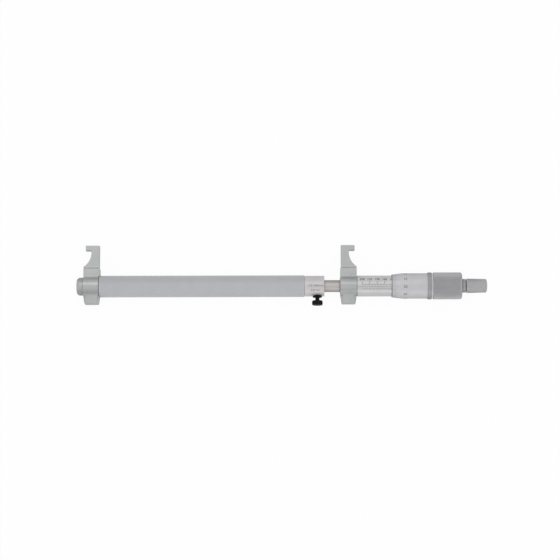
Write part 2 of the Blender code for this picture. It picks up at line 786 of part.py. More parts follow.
def adjusting_nut(look):
    """The ring nut that closes the split end on the spindle's thread to take up wear."""
    start = SLEEVE_END + FIT
    end = start + ADJUSTER_LENGTH
    radius = ADJUSTER_D / 2
    outline = [
        (start, SLEEVE_BORE_R),
        (end, SLEEVE_BORE_R),
        (end, radius - FIT),
        (end - FIT, radius),
        (start, radius),
    ]
    body = turned("adjusting_nut", outline, look, MIDDLE)
    low = (end - SPANNER_SLOT, -radius * 2, -SPANNER_SLOT)
    high = (end + SPANNER_SLOT, radius * 2, SPANNER_SLOT)
    combine(body, box("adjusting nut slot", low, high))
    return body


def graduated_sleeve(look):
    """The outer sleeve that carries the main scale, with a spanner hole under it for setting zero."""
    radius = SLEEVE_D / 2
    outline = [
        (SLEEVE_START, SLEEVE_BORE_R),
        (SLEEVE_END, SLEEVE_BORE_R),
        (SLEEVE_END, radius),
        (SLEEVE_START + COLLAR_EDGE, radius),
        (SLEEVE_START, radius - COLLAR_EDGE),
    ]
    body = turned("graduated_sleeve", outline, look, FINE)
    hole_r = SPANNER_HOLE_D / 2
    hole = [(SLEEVE_D, 0), (SLEEVE_D, hole_r), (SLEEVE_BORE_R / 2, hole_r), (SLEEVE_BORE_R / 2, 0)]
    place_x = SLEEVE_START + (FIRST_MARK - BLOCK_PROUD)
    combine(body, turned("spanner hole", hole, None, COARSE // 2, (place_x, 0, 0), ALONG_MINUS_Z))
    return body


def spindle(look):
    """The spindle: socket for the push rod, plain shank, screw, thimble taper and drilled tail."""
    tail_end = THIMBLE_END + SPINDLE_TAIL_LENGTH
    hole_end = tail_end - RATCHET_SCREW_GRIP - FIT
    taper_r = SPINDLE_TAPER_D / 2
    socket_r = PUSH_TAIL_D / 2 + FIT
    socket_end = SPINDLE_START + PUSH_TAIL_LENGTH
    outline = [
        (hole_end, 0),
        (hole_end, SCREW_HOLE_R),
        (tail_end, SCREW_HOLE_R),
        (tail_end, SPINDLE_TAIL_D / 2),
        (THIMBLE_END, SPINDLE_TAIL_D / 2),
        (THIMBLE_END, taper_r - TAPER_DROP),
        (THIMBLE_FLOOR, taper_r),
        (THIMBLE_FLOOR - FIT, taper_r),
        (THIMBLE_FLOOR - FIT, SCREW_D / 2),
        (THREAD_START, SCREW_D / 2),
        (THREAD_START, SHANK_D / 2),
        (SPINDLE_START, SHANK_D / 2),
        (SPINDLE_START, socket_r),
        (socket_end, socket_r),
        (socket_end, 0),
    ]
    return turned("spindle", outline, look, COARSE)


def thimble(look):
    """The thimble: bevelled edge, smooth barrel, raised band, groove and a ribbed grip."""
    bore_r = SLEEVE_D / 2 + FIT
    barrel_r = THIMBLE_D / 2
    grip_r = GRIP_D / 2
    taper_r = SPINDLE_TAPER_D / 2 + FIT
    band_end = BAND_START + BAND_LENGTH
    ease = GROOVE_DEPTH / 2
    corner = arc((THIMBLE_END - GRIP_ROUND, grip_r - GRIP_ROUND), GRIP_ROUND, 0, 90, 4)
    outline = [
        (THIMBLE_START, bore_r),
        (THIMBLE_FLOOR, bore_r),
        (THIMBLE_FLOOR, taper_r),
        (THIMBLE_END, taper_r - TAPER_DROP),
        *corner,
        (GRIP_START + ease, grip_r),
        (GRIP_START, grip_r - ease),
        (GRIP_START, grip_r - GROOVE_DEPTH),
        (band_end, grip_r - GROOVE_DEPTH),
        (band_end, grip_r - ease),
        (band_end - ease, grip_r),
        (BAND_START + ease, grip_r),
        (BAND_START, barrel_r),
        (THIMBLE_START + CONE_LENGTH, barrel_r),
        (THIMBLE_START, THIMBLE_EDGE_D / 2),
    ]
    body = turned("thimble", outline, look, KNURL_RIBS)
    half = GRIP_LENGTH / 2
    cutter = groove_ring("knurl", grip_r, KNURL_RIBS, KNURL_DEPTH, half)
    middle = GRIP_START + ease + half
    combine(body, place("knurl", cutter, None, (middle, 0, 0), ALONG_X))
    return body


def tooth_wedges(name, low, high, back):
    """Wedges round the axis whose faces climb from low to high once a tooth, closed at back."""
    pitch = 2 * math.pi / RATCHET_TEETH
    overlap = pitch / 50
    work = bmesh.new()
    corners = []
    for radius in (RATCHET_SCREW_D / 4, PAWL_D):
        for angle, height in ((0, low), (pitch + overlap, high)):
            for level in (height, back):
                spot = (-radius * math.cos(angle), radius * math.sin(angle), level)
                corners.append(work.verts.new(spot))
    bmesh.ops.convex_hull(work, input=corners)
    bmesh.ops.spin(
        work,
        geom=work.verts[:] + work.edges[:] + work.faces[:],
        cent=(0, 0, 0),
        axis=(0, 0, 1),
        angle=2 * math.pi - pitch,
        steps=RATCHET_TEETH - 1,
        use_duplicate=True,
    )
    bmesh.ops.recalc_face_normals(work, faces=work.faces)
    mesh = bpy.data.meshes.new(name)
    work.to_mesh(mesh)
    work.free()
    return place(name, mesh, None, (0, 0, 0), ALONG_X)


def cut_teeth(body, wedges):
    """Cut with wedges that overlap one another a little."""
    combine(body, wedges)
    body.modifiers[-1].use_self = True


def thimble_nut(look):
    """The nut that draws the thimble on to its taper, with the fixed half of the ratchet on its hub."""
    bore_r = SPINDLE_TAIL_D / 2 + FIT
    outline = [
        (NECK_START, bore_r),
        (HUB_END, bore_r),
        (HUB_END, TOOTH_HUB_D / 2),
        (HUB_START, TOOTH_HUB_D / 2),
        (HUB_START, NECK_D / 2),
        (NECK_START, NECK_D / 2),
    ]
    body = turned("thimble_nut", outline, look, MIDDLE)
    spare = PAWL_THICK
    cut_teeth(body, tooth_wedges("hub teeth", HUB_END - TOOTH_HEIGHT, HUB_END, HUB_END + spare))
    return body


def ratchet_pawl(look):
    """The sliding half of the ratchet, with saw teeth towards the hub and lugs in the knob's grooves."""
    near = HUB_END - TOOTH_HEIGHT + FIT
    radius = PAWL_D / 2
    outline = [(near, SCREW_HOLE_R), (PAWL_END, SCREW_HOLE_R), (PAWL_END, radius), (near, radius)]
    body = turned("ratchet_pawl", outline, look, MIDDLE)
    spare = PAWL_THICK
    cut_teeth(body, tooth_wedges("pawl teeth", near, HUB_END + FIT, near - spare))
    for sign in (1, -1):
        low = (PAWL_START + FIT, -PAWL_LUG_WIDTH / 2, sign * (radius - PAWL_LUG))
        high = (PAWL_END - FIT, PAWL_LUG_WIDTH / 2, sign * (radius + PAWL_LUG))
        combine(body, box("pawl lug", low, high), "UNION")
    return body


def ratchet_spring(look):
    """The spring that holds the pawl in mesh."""
    curve = bpy.data.curves.new("ratchet_spring", "CURVE")
    curve.dimensions = "3D"
    curve.bevel_depth = SPRING_WIRE_D / 2
    curve.bevel_resolution = 0
    curve.use_fill_caps = True
    spline = curve.splines.new("POLY")
    count = SPRING_TURNS * COARSE // 2
    spline.points.add(count)
    coil_r = (SPRING_D - SPRING_WIRE_D) / 2
    near = SPRING_START + SPRING_WIRE_D / 2
    climb = SPRING_LENGTH - SPRING_WIRE_D
    for i, point in enumerate(spline.points):
        share = i / count
        angle = 2 * math.pi * SPRING_TURNS * share
        point.co = (near + climb * share, coil_r * math.cos(angle), coil_r * math.sin(angle), 1)
    coil = bpy.data.objects.new("coil", curve)
    PIECES.objects.link(coil)
    mesh = evaluated_mesh(coil, "ratchet_spring")
    bpy.data.objects.remove(coil, do_unlink=True)
    bpy.data.curves.remove(curve)
    weld(mesh)
    return place("ratchet_spring", smooth(mesh, math.radians(60)), look)


def ratchet_knob(look):
    """The knob: a cap over the ratchet, with a pocket in its end for the screw's head."""
    radius, end_r = KNOB_D / 2, KNOB_END_D / 2
    head_r = RATCHET_HEAD_D / 2 + FIT
    round_end = KNOB_END - KNOB_CROWN - KNOB_ROUND
    corner = arc((round_end, end_r - KNOB_ROUND), KNOB_ROUND, 0, 90, 4)
    outline = [
        (KNOB_START, KNOB_BORE_R),
        (CAVITY_END, KNOB_BORE_R),
        (CAVITY_END, SCREW_HOLE_R),
        (HEAD_SEAT, SCREW_HOLE_R),
        (HEAD_SEAT, head_r),
        (KNOB_END, head_r),
        *corner,
        (KNOB_START + KNOB_EDGE, radius),
        (KNOB_START, radius - KNOB_EDGE),
    ]
    body = turned("ratchet_knob", outline, look, FINE)
    reach = PAWL_D / 2 + PAWL_LUG + FIT
    half = PAWL_LUG_WIDTH / 2 + FIT
    low = (KNOB_START - FIT, -half, -reach)
    high = (CAVITY_END - FIT, half, reach)
    combine(body, box("lug grooves", low, high))
    return body


def ratchet_screw(look):
    """The slotted screw on which the knob turns."""
    head = HEAD_SEAT + FIT
    end = KNOB_END - HEAD_SUNK
    tip = THIMBLE_END + SPINDLE_TAIL_LENGTH - RATCHET_SCREW_GRIP
    shank_r = RATCHET_SCREW_D / 2
    head_r = RATCHET_HEAD_D / 2
    outline = [(end, 0), (end, head_r), (head, head_r), (head, shank_r), (tip, shank_r), (tip, 0)]
    body = turned("ratchet_screw", outline, look, COARSE)
    low = (end - SLOT_DEPTH, -RATCHET_HEAD_D, -SLOT_WIDTH / 2)
    high = (end + SLOT_DEPTH, RATCHET_HEAD_D, SLOT_WIDTH / 2)
    combine(body, box("ratchet screw slot", low, high))
    return body


def lay_down(tool):
    """Set the tool at rest on z = 0, over the middle of its own outline.

    It touches at the tube's closed end, at the thimble's raised band and at the left jaw's tip.
    """
    tube_x, tube_r = TUBE_START + TUBE_EDGE, TUBE_D / 2
    band_x, band_r = BAND_START + GROOVE_DEPTH / 2, GRIP_D / 2
    pitch = math.atan2(band_r - tube_r, band_x - tube_x)
    height = tube_r * math.cos(pitch) - tube_x * math.sin(pitch)
    tip_x, tip_y, tip_z = LAND_DROP + JAW_EDGE, TIP_HEIGHT - JAW_EDGE, ARM_THICK / 2
    tip_room = (height + tip_x * math.sin(pitch)) / math.cos(pitch)
    roll = math.asin(tip_room / math.hypot(tip_y, tip_z)) - math.atan2(tip_z, tip_y)
    middle_x = (KNOB_END - BLOCK_PROUD - BOSS_REACH) / 2
    clamp_flange = COLLAR_D / 2 - CLAMP_SEAT_SUNK + FIT
    clamp_end = clamp_flange + CLAMP_FLANGE_THICK + CLAMP_NECK_LENGTH + CLAMP_HEAD_THICK
    top_y = TIP_HEIGHT * math.cos(roll) + ARM_THICK / 2 * math.sin(roll)
    bottom_y = -clamp_end * math.cos(roll) - CLAMP_HEAD_D / 2 * math.sin(roll)
    tool.rotation_euler = (-roll, -pitch, 0)
    tool.location = (-middle_x * math.cos(pitch), -(top_y + bottom_y) / 2, height)


def build():
    """Make every piece, then lay the tool down."""
    jaw_steel = material("jaw steel", (0.40, 0.40, 0.40), 0.5, 0.6)
    grey_paint = material("grey paint", (0.45, 0.45, 0.46), 0.5, 0.1)
    satin_chrome = material("satin chrome", (0.55, 0.54, 0.53), 0.4, 0.7)
    ground_steel = material("ground steel", (0.50, 0.49, 0.48), 0.3, 0.9)
    black_steel = material("black steel", (0.02, 0.02, 0.02), 0.4, 0.5)
    plain_steel = material("plain steel", (0.42, 0.42, 0.43), 0.4, 0.9)
    brass = material("brass", (0.60, 0.45, 0.18), 0.4, 0.9)
    left_jaw(jaw_steel)
    guide_tube(grey_paint)
    range_collar(satin_chrome)
    key_screw(plain_steel)
    clamp_pad(brass)
    clamp_screw(black_steel)
    thrust_seat(plain_steel)
    retaining_nut(plain_steel)
    push_rod(plain_steel)
    guide_rod(ground_steel)
    right_jaw(jaw_steel)
    inner_sleeve(plain_steel)
    adjusting_nut(plain_steel)
    graduated_sleeve(satin_chrome)
    spindle(plain_steel)
    thimble(satin_chrome)
    thimble_nut(satin_chrome)
    ratchet_pawl(plain_steel)
    ratchet_spring(plain_steel)
    ratchet_knob(satin_chrome)
    ratchet_screw(black_steel)
    lay_down(TOOL)


clear_scene()
PIECES = bpy.data.collections.new("inside_micrometer")
CUTTERS = bpy.data.collections.new("cutters")
bpy.context.scene.collection.children.link(PIECES)
bpy.context.scene.collection.children.link(CUTTERS)
TOOL = bpy.data.objects.new("tool_frame", None)
PIECES.objects.link(TOOL)
build()
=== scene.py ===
"""Looks of the inside micrometer: finer pieces over the CAD frame, materials, marks and light.

Pieces are shaped in the tool's own frame, in metres, and piece() brings them into the shared frame.
The tool's origin is on the axis at the left measuring face, X runs along the axis to the ratchet, Y
to the jaws' tips and Z out of the jaws' faces. An angle round the axis counts from Z towards Y.
"""

import json
import math

import bmesh
import bpy
from mathutils import Matrix, Vector

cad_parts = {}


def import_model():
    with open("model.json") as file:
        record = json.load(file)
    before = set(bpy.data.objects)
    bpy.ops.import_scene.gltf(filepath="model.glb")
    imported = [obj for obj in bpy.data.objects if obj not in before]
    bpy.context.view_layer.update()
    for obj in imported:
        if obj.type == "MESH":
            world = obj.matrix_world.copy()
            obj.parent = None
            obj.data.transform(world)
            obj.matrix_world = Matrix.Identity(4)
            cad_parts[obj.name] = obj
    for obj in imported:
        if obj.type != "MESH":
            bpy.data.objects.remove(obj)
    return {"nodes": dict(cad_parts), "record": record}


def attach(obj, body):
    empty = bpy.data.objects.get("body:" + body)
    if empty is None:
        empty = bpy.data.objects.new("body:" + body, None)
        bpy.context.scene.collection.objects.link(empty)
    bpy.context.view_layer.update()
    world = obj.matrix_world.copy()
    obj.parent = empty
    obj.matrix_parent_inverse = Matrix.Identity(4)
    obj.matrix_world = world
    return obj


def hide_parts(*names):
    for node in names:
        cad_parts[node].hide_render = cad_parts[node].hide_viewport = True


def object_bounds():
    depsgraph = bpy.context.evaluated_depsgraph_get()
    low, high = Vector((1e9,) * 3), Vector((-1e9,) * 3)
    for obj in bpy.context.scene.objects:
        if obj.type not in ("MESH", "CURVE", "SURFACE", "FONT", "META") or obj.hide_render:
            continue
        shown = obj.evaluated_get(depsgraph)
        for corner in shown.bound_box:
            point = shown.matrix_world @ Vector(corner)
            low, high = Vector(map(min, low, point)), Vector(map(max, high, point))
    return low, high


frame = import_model()
cad_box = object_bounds()

MM = 0.001

# Sizes that the CAD pieces have
READING = 180.2 * MM
CLOSING_TRAVEL = 5.2 * MM
OPENING_TRAVEL = 19.8 * MM
FIT = 0.3 * MM
TIP_HEIGHT = 27.4 * MM
NIB_HEIGHT = 3.2 * MM
NIB_REACH = 3.95 * MM
NIB_CORNER = 0.5 * MM
LAND_BEVEL = 1.1 * MM
LAND_DROP = 0.35 * MM
ARM_DEPTH = 9.3 * MM
ARM_THICK = 6.0 * MM
RELIEF_RADIUS = 11.8 * MM
RELIEF_DROP = 1.4 * MM
BLOCK_PROUD = 1.25 * MM
BLOCK_STEP = 0.4 * MM
BLOCK_THICK = 8.0 * MM
BLOCK_TOP = 11.6 * MM
STEP_FILLET = 2.3 * MM
STUB_SHOULDER = 6.6 * MM
STUB_LENGTH = 5.3 * MM
STUB_TAPER = 0.7 * MM
STUB_CORNER = 0.7 * MM
STUB_CHAMFER = 1.9 * MM
STUB_CHAMFER_DEPTH = 1.2 * MM
JAW_EDGE = 0.25 * MM
FAIRING_SUNK = 0.03 * MM
BOSS_D = 12.0 * MM
SWELL_D = 14.0 * MM
BOSS_STEP = 0.25 * MM
BOSS_EDGE = 0.45 * MM
BOSS_REACH = 4.75 * MM
BOSS_ROUND = 2.3 * MM
BOSS_CROWN = 0.3 * MM
RIGHT_BOSS_REACH = 0.3 * MM
RIGHT_BOSS_D = 13.4 * MM
TUBE_D = 14.5 * MM
TUBE_WALL = 1.4 * MM
TUBE_SEAT_DEPTH = 0.8 * MM
TUBE_STANDOFF = 0.35 * MM
TUBE_PLUG = 6.0 * MM
SPIGOT_D = 9.0 * MM
SPIGOT_LENGTH = 12.0 * MM
COLLAR_D = 13.8 * MM
COLLAR_LENGTH = 13.1 * MM
COLLAR_SPIGOT_LENGTH = 8.0 * MM
CLOSED_GAP = 5.2 * MM
ROD_D = 8.0 * MM
ROD_IN_TUBE = 70.0 * MM
ROD_SEAT = 4.5 * MM
KEYWAY_WIDTH = 2.2 * MM
KEYWAY_DEPTH = 1.0 * MM
KEYWAY_SPARE = 3.0 * MM
KEY_FROM_SHOULDER = 4.2 * MM
KEY_SCREW_D = 2.6 * MM
PUSH_ROD_D = 3.6 * MM
CLAMP_FROM_END = 4.7 * MM
CLAMP_SHANK_D = 2.6 * MM
CLAMP_PAD_THICK = 0.8 * MM
CLAMP_SEAT_SUNK = 0.5 * MM
CLAMP_FLANGE_D = 6.6 * MM
CLAMP_FLANGE_THICK = 1.0 * MM
CLAMP_NECK_D = 2.8 * MM
CLAMP_NECK_LENGTH = 2.3 * MM
CLAMP_HEAD_D = 7.1 * MM
CLAMP_HEAD_THICK = 2.9 * MM
INNER_SLEEVE_D = 9.4 * MM
SLEEVE_D = 14.0 * MM
SLEEVE_GAP = 0.3 * MM
SLEEVE_COVER = 8.6 * MM
FIRST_MARK = 4.8 * MM
SPANNER_HOLE_D = 1.4 * MM
SPINDLE_TAPER_D = 6.4 * MM
SPINDLE_TAIL_D = 4.0 * MM
SPINDLE_TAIL_LENGTH = 3.2 * MM
TAPER_DROP = 0.4 * MM
THIMBLE_EDGE_D = 15.2 * MM
THIMBLE_D = 17.0 * MM
GRIP_D = 18.0 * MM
CONE_LENGTH = 6.5 * MM
BARREL_LENGTH = 17.4 * MM
BAND_LENGTH = 2.8 * MM
GROOVE_LENGTH = 0.8 * MM
GROOVE_DEPTH = 0.5 * MM
GRIP_LENGTH = 19.4 * MM
GRIP_ROUND = 1.3 * MM
THIMBLE_WALL = 3.6 * MM
NECK_D = 9.1 * MM
NECK_LENGTH = 2.2 * MM
TOOTH_HUB_D = 6.4 * MM
TOOTH_HUB_LENGTH = 2.0 * MM
RATCHET_TEETH = 10
TOOTH_HEIGHT = 0.6 * MM
PAWL_D = 6.8 * MM
PAWL_THICK = 2.2 * MM
SPRING_LENGTH = 4.0 * MM
KNOB_D = 9.6 * MM
KNOB_END_D = 9.1 * MM
KNOB_GAP = 0.4 * MM
HEAD_POCKET = 3.2 * MM
HEAD_SUNK = 0.5 * MM
KNOB_ROUND = 0.9 * MM
KNOB_CROWN = 0.25 * MM
KNOB_WALL = 2.0 * MM
RATCHET_SCREW_D = 1.8 * MM
RATCHET_SCREW_GRIP = 5.0 * MM
RATCHET_HEAD_D = 4.6 * MM
SLOT_WIDTH = 0.6 * MM
SLOT_DEPTH = 0.5 * MM

# Places along the axis
BLOCK_IN = ARM_DEPTH + BLOCK_STEP
BOSS_IN = BLOCK_IN + BOSS_STEP
TUBE_SEAT = BLOCK_IN - TUBE_SEAT_DEPTH
TUBE_START = TUBE_SEAT + TUBE_STANDOFF
COLLAR_END = READING - CLOSING_TRAVEL - BOSS_IN - CLOSED_GAP
COLLAR_START = COLLAR_END - COLLAR_LENGTH
TUBE_END = COLLAR_START - FIT
CLAMP_X = COLLAR_END - CLAMP_FROM_END
KEY_X = COLLAR_START + KEY_FROM_SHOULDER
ROD_END = READING - BOSS_IN + ROD_SEAT
ROD_START = COLLAR_END - ROD_IN_TUBE
SLEEVE_START = READING + BLOCK_PROUD + RIGHT_BOSS_REACH + SLEEVE_GAP
SLEEVE_END = READING + FIRST_MARK + CLOSING_TRAVEL + OPENING_TRAVEL + SLEEVE_COVER
THIMBLE_START = READING + OPENING_TRAVEL + FIRST_MARK
BAND_START = THIMBLE_START + CONE_LENGTH + BARREL_LENGTH
GRIP_START = BAND_START + BAND_LENGTH + GROOVE_LENGTH
THIMBLE_END = GRIP_START + GRIP_LENGTH
THIMBLE_FLOOR = THIMBLE_END - THIMBLE_WALL
NECK_START = THIMBLE_END + FIT
HUB_START = NECK_START + NECK_LENGTH
HUB_END = HUB_START + TOOTH_HUB_LENGTH
KNOB_START = HUB_START + KNOB_GAP
CAVITY_END = HUB_END + PAWL_THICK + SPRING_LENGTH + 3 * FIT
HEAD_SEAT = CAVITY_END + KNOB_WALL
KNOB_END = HEAD_SEAT + HEAD_POCKET
ZERO_MARK = READING + FIRST_MARK

# Radii
TUBE_BORE_R = TUBE_D / 2 - TUBE_WALL
ROD_HOLE_R = ROD_D / 2 + FIT
SLEEVE_BORE_R = INNER_SLEEVE_D / 2 + FIT
SCREW_HOLE_R = RATCHET_SCREW_D / 2 + FIT

# What is drawn a little unlike the CAD: how far a shoulder comes nearer to its neighbour, what is
# taken off the clamp screw's flange in radius and its waist in length, what is taken off the grip
# in radius, and the fillet of the jaws' swelling, which is 3 mm in the CAD
SHUT = 0.22 * MM
RIM_EASE = 0.22 * MM
GRIP_EASE = 0.008 * MM
SWELL_BLEND = 3.4 * MM

# The steps round turned shapes
ROUND = 128
JAW_ROUND = 96
SCREW_ROUND = 64
HOLE_ROUND = 48
TOOTH_STEPS = 12

# The finer detail that this script adds: ribs, the thimble's edge, which carries a painted shadow,
# and marks
GRIP_RIBS = 96
GRIP_RIB_DEPTH = 0.22 * MM
KNOB_RIBS = 56
KNOB_RIB_DEPTH = 0.14 * MM
CLAMP_RIBS = 32
CLAMP_RIB_DEPTH = 0.2 * MM
EDGE_LENGTH = 0.5 * MM
EDGE_CORNER = 0.1 * MM
CONE_EASE = 0.6 * MM
CONE_DROP = 0.13 * MM
MARK_RISE = 0.012 * MM
MARK_SUNK = 0.03 * MM
INDEX_TURN = -2.8

# Distances from the axis between which the jaws' painted shade on slopes and in inner corners fades
# out
SLOPE_SHADE_FADE = (9.0 * MM, 10.0 * MM)
CORNER_SHADE_FADE = (13.5 * MM, 15.0 * MM)


def tool_matrix():
    """The tool's own frame, from the joints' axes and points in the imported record."""
    joints = {joint["name"]: joint for joint in frame["record"]["behaviour"]["joints"]}
    along = -Vector(joints["thimble_turn"]["axis"]).normalized()
    tips = -Vector(joints["clamp_turn"]["axis"]).normalized()
    made = Matrix((along, tips, along.cross(tips))).transposed().to_4x4()
    made.translation = Vector(joints["thimble_turn"]["pos_m"]) - THIMBLE_START * along
    return made


TOOL = tool_matrix()

# How far the tool leans about its axis, and where its scale's index line lies
LEAN = math.atan2(TOOL[1][2], TOOL[2][2])
INDEX_ANGLE = math.radians(INDEX_TURN) - LEAN


def put(name, data):
    """A new object in the scene."""
    made = bpy.data.objects.new(name, data)
    bpy.context.scene.collection.objects.link(made)
    return made


def mesh_of(thing):
    """The mesh that an object's modifiers or curves make."""
    bpy.context.view_layer.update()
    graph = bpy.context.evaluated_depsgraph_get()
    return bpy.data.meshes.new_from_object(thing.evaluated_get(graph))


def linear(shade):
    """A colour value from 0 to 255, as the photo writes it, to linear light."""
    share = shade / 255
    return share / 12.92 if share <= 0.04045 else ((share + 0.055) / 1.055) ** 2.4


def colour_of(red, green, blue):
    return (linear(red), linear(green), linear(blue), 1.0)


# ---- Materials

# Sizes of the patches of colour, gloss and wear, how much smoother a rubbed edge is, and the share
# of its colour that an inner corner keeps under painted shade
COLOUR_PATCH = 9.0 * MM
GLOSS_PATCH = 4.0 * MM
WEAR_PATCH = 1.2 * MM
RUBBED_GLOSS = 0.12
CORNER_SHADE = 0.5

# (spacing, depth) of turning marks, (size, depth) of ribbed surfaces' and marks' grain, and (width,
# colour) of rubbed chrome edges
TURNED = (0.12 * MM, 0.004 * MM)
TURNED_PLAIN = (0.15 * MM, 0.005 * MM)
RIBBED_GRAIN = (0.2 * MM, 0.008 * MM)
INK_GRAIN = (0.1 * MM, 0.004 * MM)
RUBBED_CHROME = (0.2 * MM, colour_of(222, 222, 220))


class Nodes:
    """The nodes of a material or a world, with short calls for the ones that the looks use."""

    def __init__(self, owner):
        owner.use_nodes = True
        self.tree = owner.node_tree
        self.own = owner.node_tree.nodes

    def feed(self, node, inputs):
        """Set a node's inputs to values, or link them to other nodes' outputs."""
        for key, value in inputs.items():
            if isinstance(value, bpy.types.NodeSocket):
                self.tree.links.new(value, node.inputs[key])
            else:
                node.inputs[key].default_value = value

    def node(self, kind, inputs=None, **settings):
        made = self.tree.nodes.new(kind)
        for key, value in settings.items():
            setattr(made, key, value)
        self.feed(made, inputs or {})
        return made

    def noise(self, size, detail=2.0, rough=0.5, stretch=(1, 1, 1)):
        """Noise with patches of a size in metres, stretched in each direction."""
        point = self.node("ShaderNodeTexCoord").outputs["Object"]
        place = self.node("ShaderNodeMapping", {"Vector": point, "Scale": stretch})
        inputs = {"Vector": place.outputs["Vector"], "Scale": 1 / size}
        inputs |= {"Detail": detail, "Roughness": rough}
        return self.node("ShaderNodeTexNoise", inputs).outputs["Fac"]

    def spread(self, value, low, high, start=0.3, end=0.7):
        """Spread a value from one range to another."""
        inputs = {"Value": value, "From Min": start, "From Max": end, "To Min": low, "To Max": high}
        return self.node("ShaderNodeMapRange", inputs).outputs["Result"]

    def mix(self, share, first, second):
        """Mix two colours."""
        inputs = {"Factor": share, 6: first, 7: second}
        return self.node("ShaderNodeMix", inputs, data_type="RGBA").outputs[2]

    def math(self, operation, first, second=0.0):
        inputs = {0: first, 1: second}
        return self.node("ShaderNodeMath", inputs, operation=operation).outputs["Value"]

    def dot(self, first, second):
        inputs = {0: first, 1: second}
        return self.node("ShaderNodeVectorMath", inputs, operation="DOT_PRODUCT").outputs["Value"]

    def part_along(self, coordinate, way):
        """How much of the piece's normal, or of a point's place, lies along a direction."""
        return self.dot(self.node("ShaderNodeTexCoord").outputs[coordinate], way)

    def far(self, start, end):
        """0 nearer to the axis than start, and 1 farther out along Y than end."""
        tips = TOOL.col[1].xyz
        height = self.math("SUBTRACT", self.part_along("Object", tips), TOOL.translation.dot(tips))
        return self.spread(self.math("ABSOLUTE", height), 0, 1, start, end)

    def slope(self, turn):
        """0 where a face looks along the tool's Z, turned round its X by degrees, and 1 across it.

        It masks the painted shade on slopes, and fades out along the jaws.
        """
        angle = math.radians(turn)
        across = TOOL.to_3x3() @ Vector((0, math.cos(angle), -math.sin(angle)))
        steep = self.math("ABSOLUTE", self.part_along("Normal", across))
        return self.math("SUBTRACT", steep, self.far(*SLOPE_SHADE_FADE))

    def open_to(self, reach, low, high):
        """1 on open faces and on the jaws' arms, and less within a reach of an inner corner."""
        inputs = {"Distance": reach}
        # Painted shade: where this falls below 1, an inner corner's colour is darkened
        around = self.node("ShaderNodeAmbientOcclusion", inputs, samples=8).outputs["AO"]
        return self.math("MAXIMUM", self.spread(around, 0, 1, low, high), self.far(*CORNER_SHADE_FADE))

    def worn_edges(self, width):
        """Up to 1 along edges, broken up by noise, and 0 on open faces."""
        eased = self.node("ShaderNodeBevel", {"Radius": width}, samples=6).outputs["Normal"]
        plain = self.node("ShaderNodeNewGeometry").outputs["Normal"]
        bent = self.spread(self.dot(eased, plain), 1.0, 0.0, 0.86, 0.98)
        return self.math("MULTIPLY", bent, self.spread(self.noise(WEAR_PATCH, 3), 0.5, 1.0))

    def bump(self, height, depth, under=None):
        inputs = {"Height": height, "Distance": depth}
        if under is not None:
            inputs["Normal"] = under
        return self.node("ShaderNodeBump", inputs).outputs["Normal"]

    def show(self, shown, share, lit, output):
        """Show a share of one shader to camera, mirror and glass rays, and another to the rest."""
        rays = self.node("ShaderNodeLightPath").outputs
        seen = self.math("MAXIMUM", rays["Is Camera Ray"], rays["Is Glossy Ray"])
        seen = self.math("MAXIMUM", seen, rays["Is Transmission Ray"])
        inputs = {"Fac": self.math("MULTIPLY", seen, share), 1: lit, 2: shown}
        self.feed(output, {"Surface": self.node("ShaderNodeMixShader", inputs).outputs["Shader"]})


def shaded(colour, factor):
    return tuple(min(value * factor, 1.0) for value in colour[:3]) + (1.0,)


def surface(
    name,
    colour,
    metallic,
    roughness,
    mottle=0.05,
    uneven=0.05,
    grain=None,
    rings=None,
    wear=None,
    slopes=None,
    edge=1.0,
    corners=(1.4 * MM, 0.35, 0.85),
):
    """A metal or a paint with mottled colour and uneven gloss.

    mottle and uneven are how far colour and gloss go up and down. grain is (size, depth) of a
    blasted or sprayed texture, rings is (spacing, depth) of turning marks round the axis, and every
    look has one of the two. wear is (width, colour) of rubbed edges, slopes is (share, start, end,
    turn) of painted shade on slopes, with share the brightness left there, corners is (reach, low,
    high) of painted shade in inner corners, and edge is how much a metal mirrors at a low angle.
    """
    made = bpy.data.materials.new(name)
    nodes = Nodes(made)
    patches = nodes.spread(nodes.noise(COLOUR_PATCH, 4, 0.6), 0, 1)
    dull, bright = shaded(colour, 1 - mottle), shaded(colour, 1 + mottle)
    paint = nodes.mix(patches, dull, bright)
    gloss = nodes.spread(nodes.noise(GLOSS_PATCH, 3), roughness - uneven, roughness + uneven)
    # Painted shade: slopes get a darker copy of the mottled colour
    if slopes:
        share, start, end, turn = slopes
        shaded_slopes = nodes.mix(patches, shaded(dull, share), shaded(bright, share))
        paint = nodes.mix(nodes.spread(nodes.slope(turn), 0, 1, start, end), paint, shaded_slopes)
    normal = None
    if rings:
        normal = nodes.bump(nodes.noise(rings[0], 3, 0.6, stretch=(1, 0.02, 0.02)), rings[1])
    if grain:
        normal = nodes.bump(nodes.noise(grain[0], 2), grain[1], under=normal)
    if wear:
        rubbed = nodes.worn_edges(wear[0])
        paint = nodes.mix(rubbed, paint, wear[1])
        gloss = nodes.math("SUBTRACT", gloss, nodes.math("MULTIPLY", rubbed, RUBBED_GLOSS))
    # Painted shade: inner corners get darker, by the default reach on every look that doesn't turn
    # it off
    if corners:
        paint = nodes.mix(nodes.open_to(*corners), shaded(colour, CORNER_SHADE), paint)
    inputs = {"Base Color": paint, "Metallic": metallic, "Roughness": gloss, "Normal": normal}
    inputs["Specular Tint"] = (edge, edge, edge, 1.0)
    nodes.feed(nodes.own["Principled BSDF"], inputs)
    return made
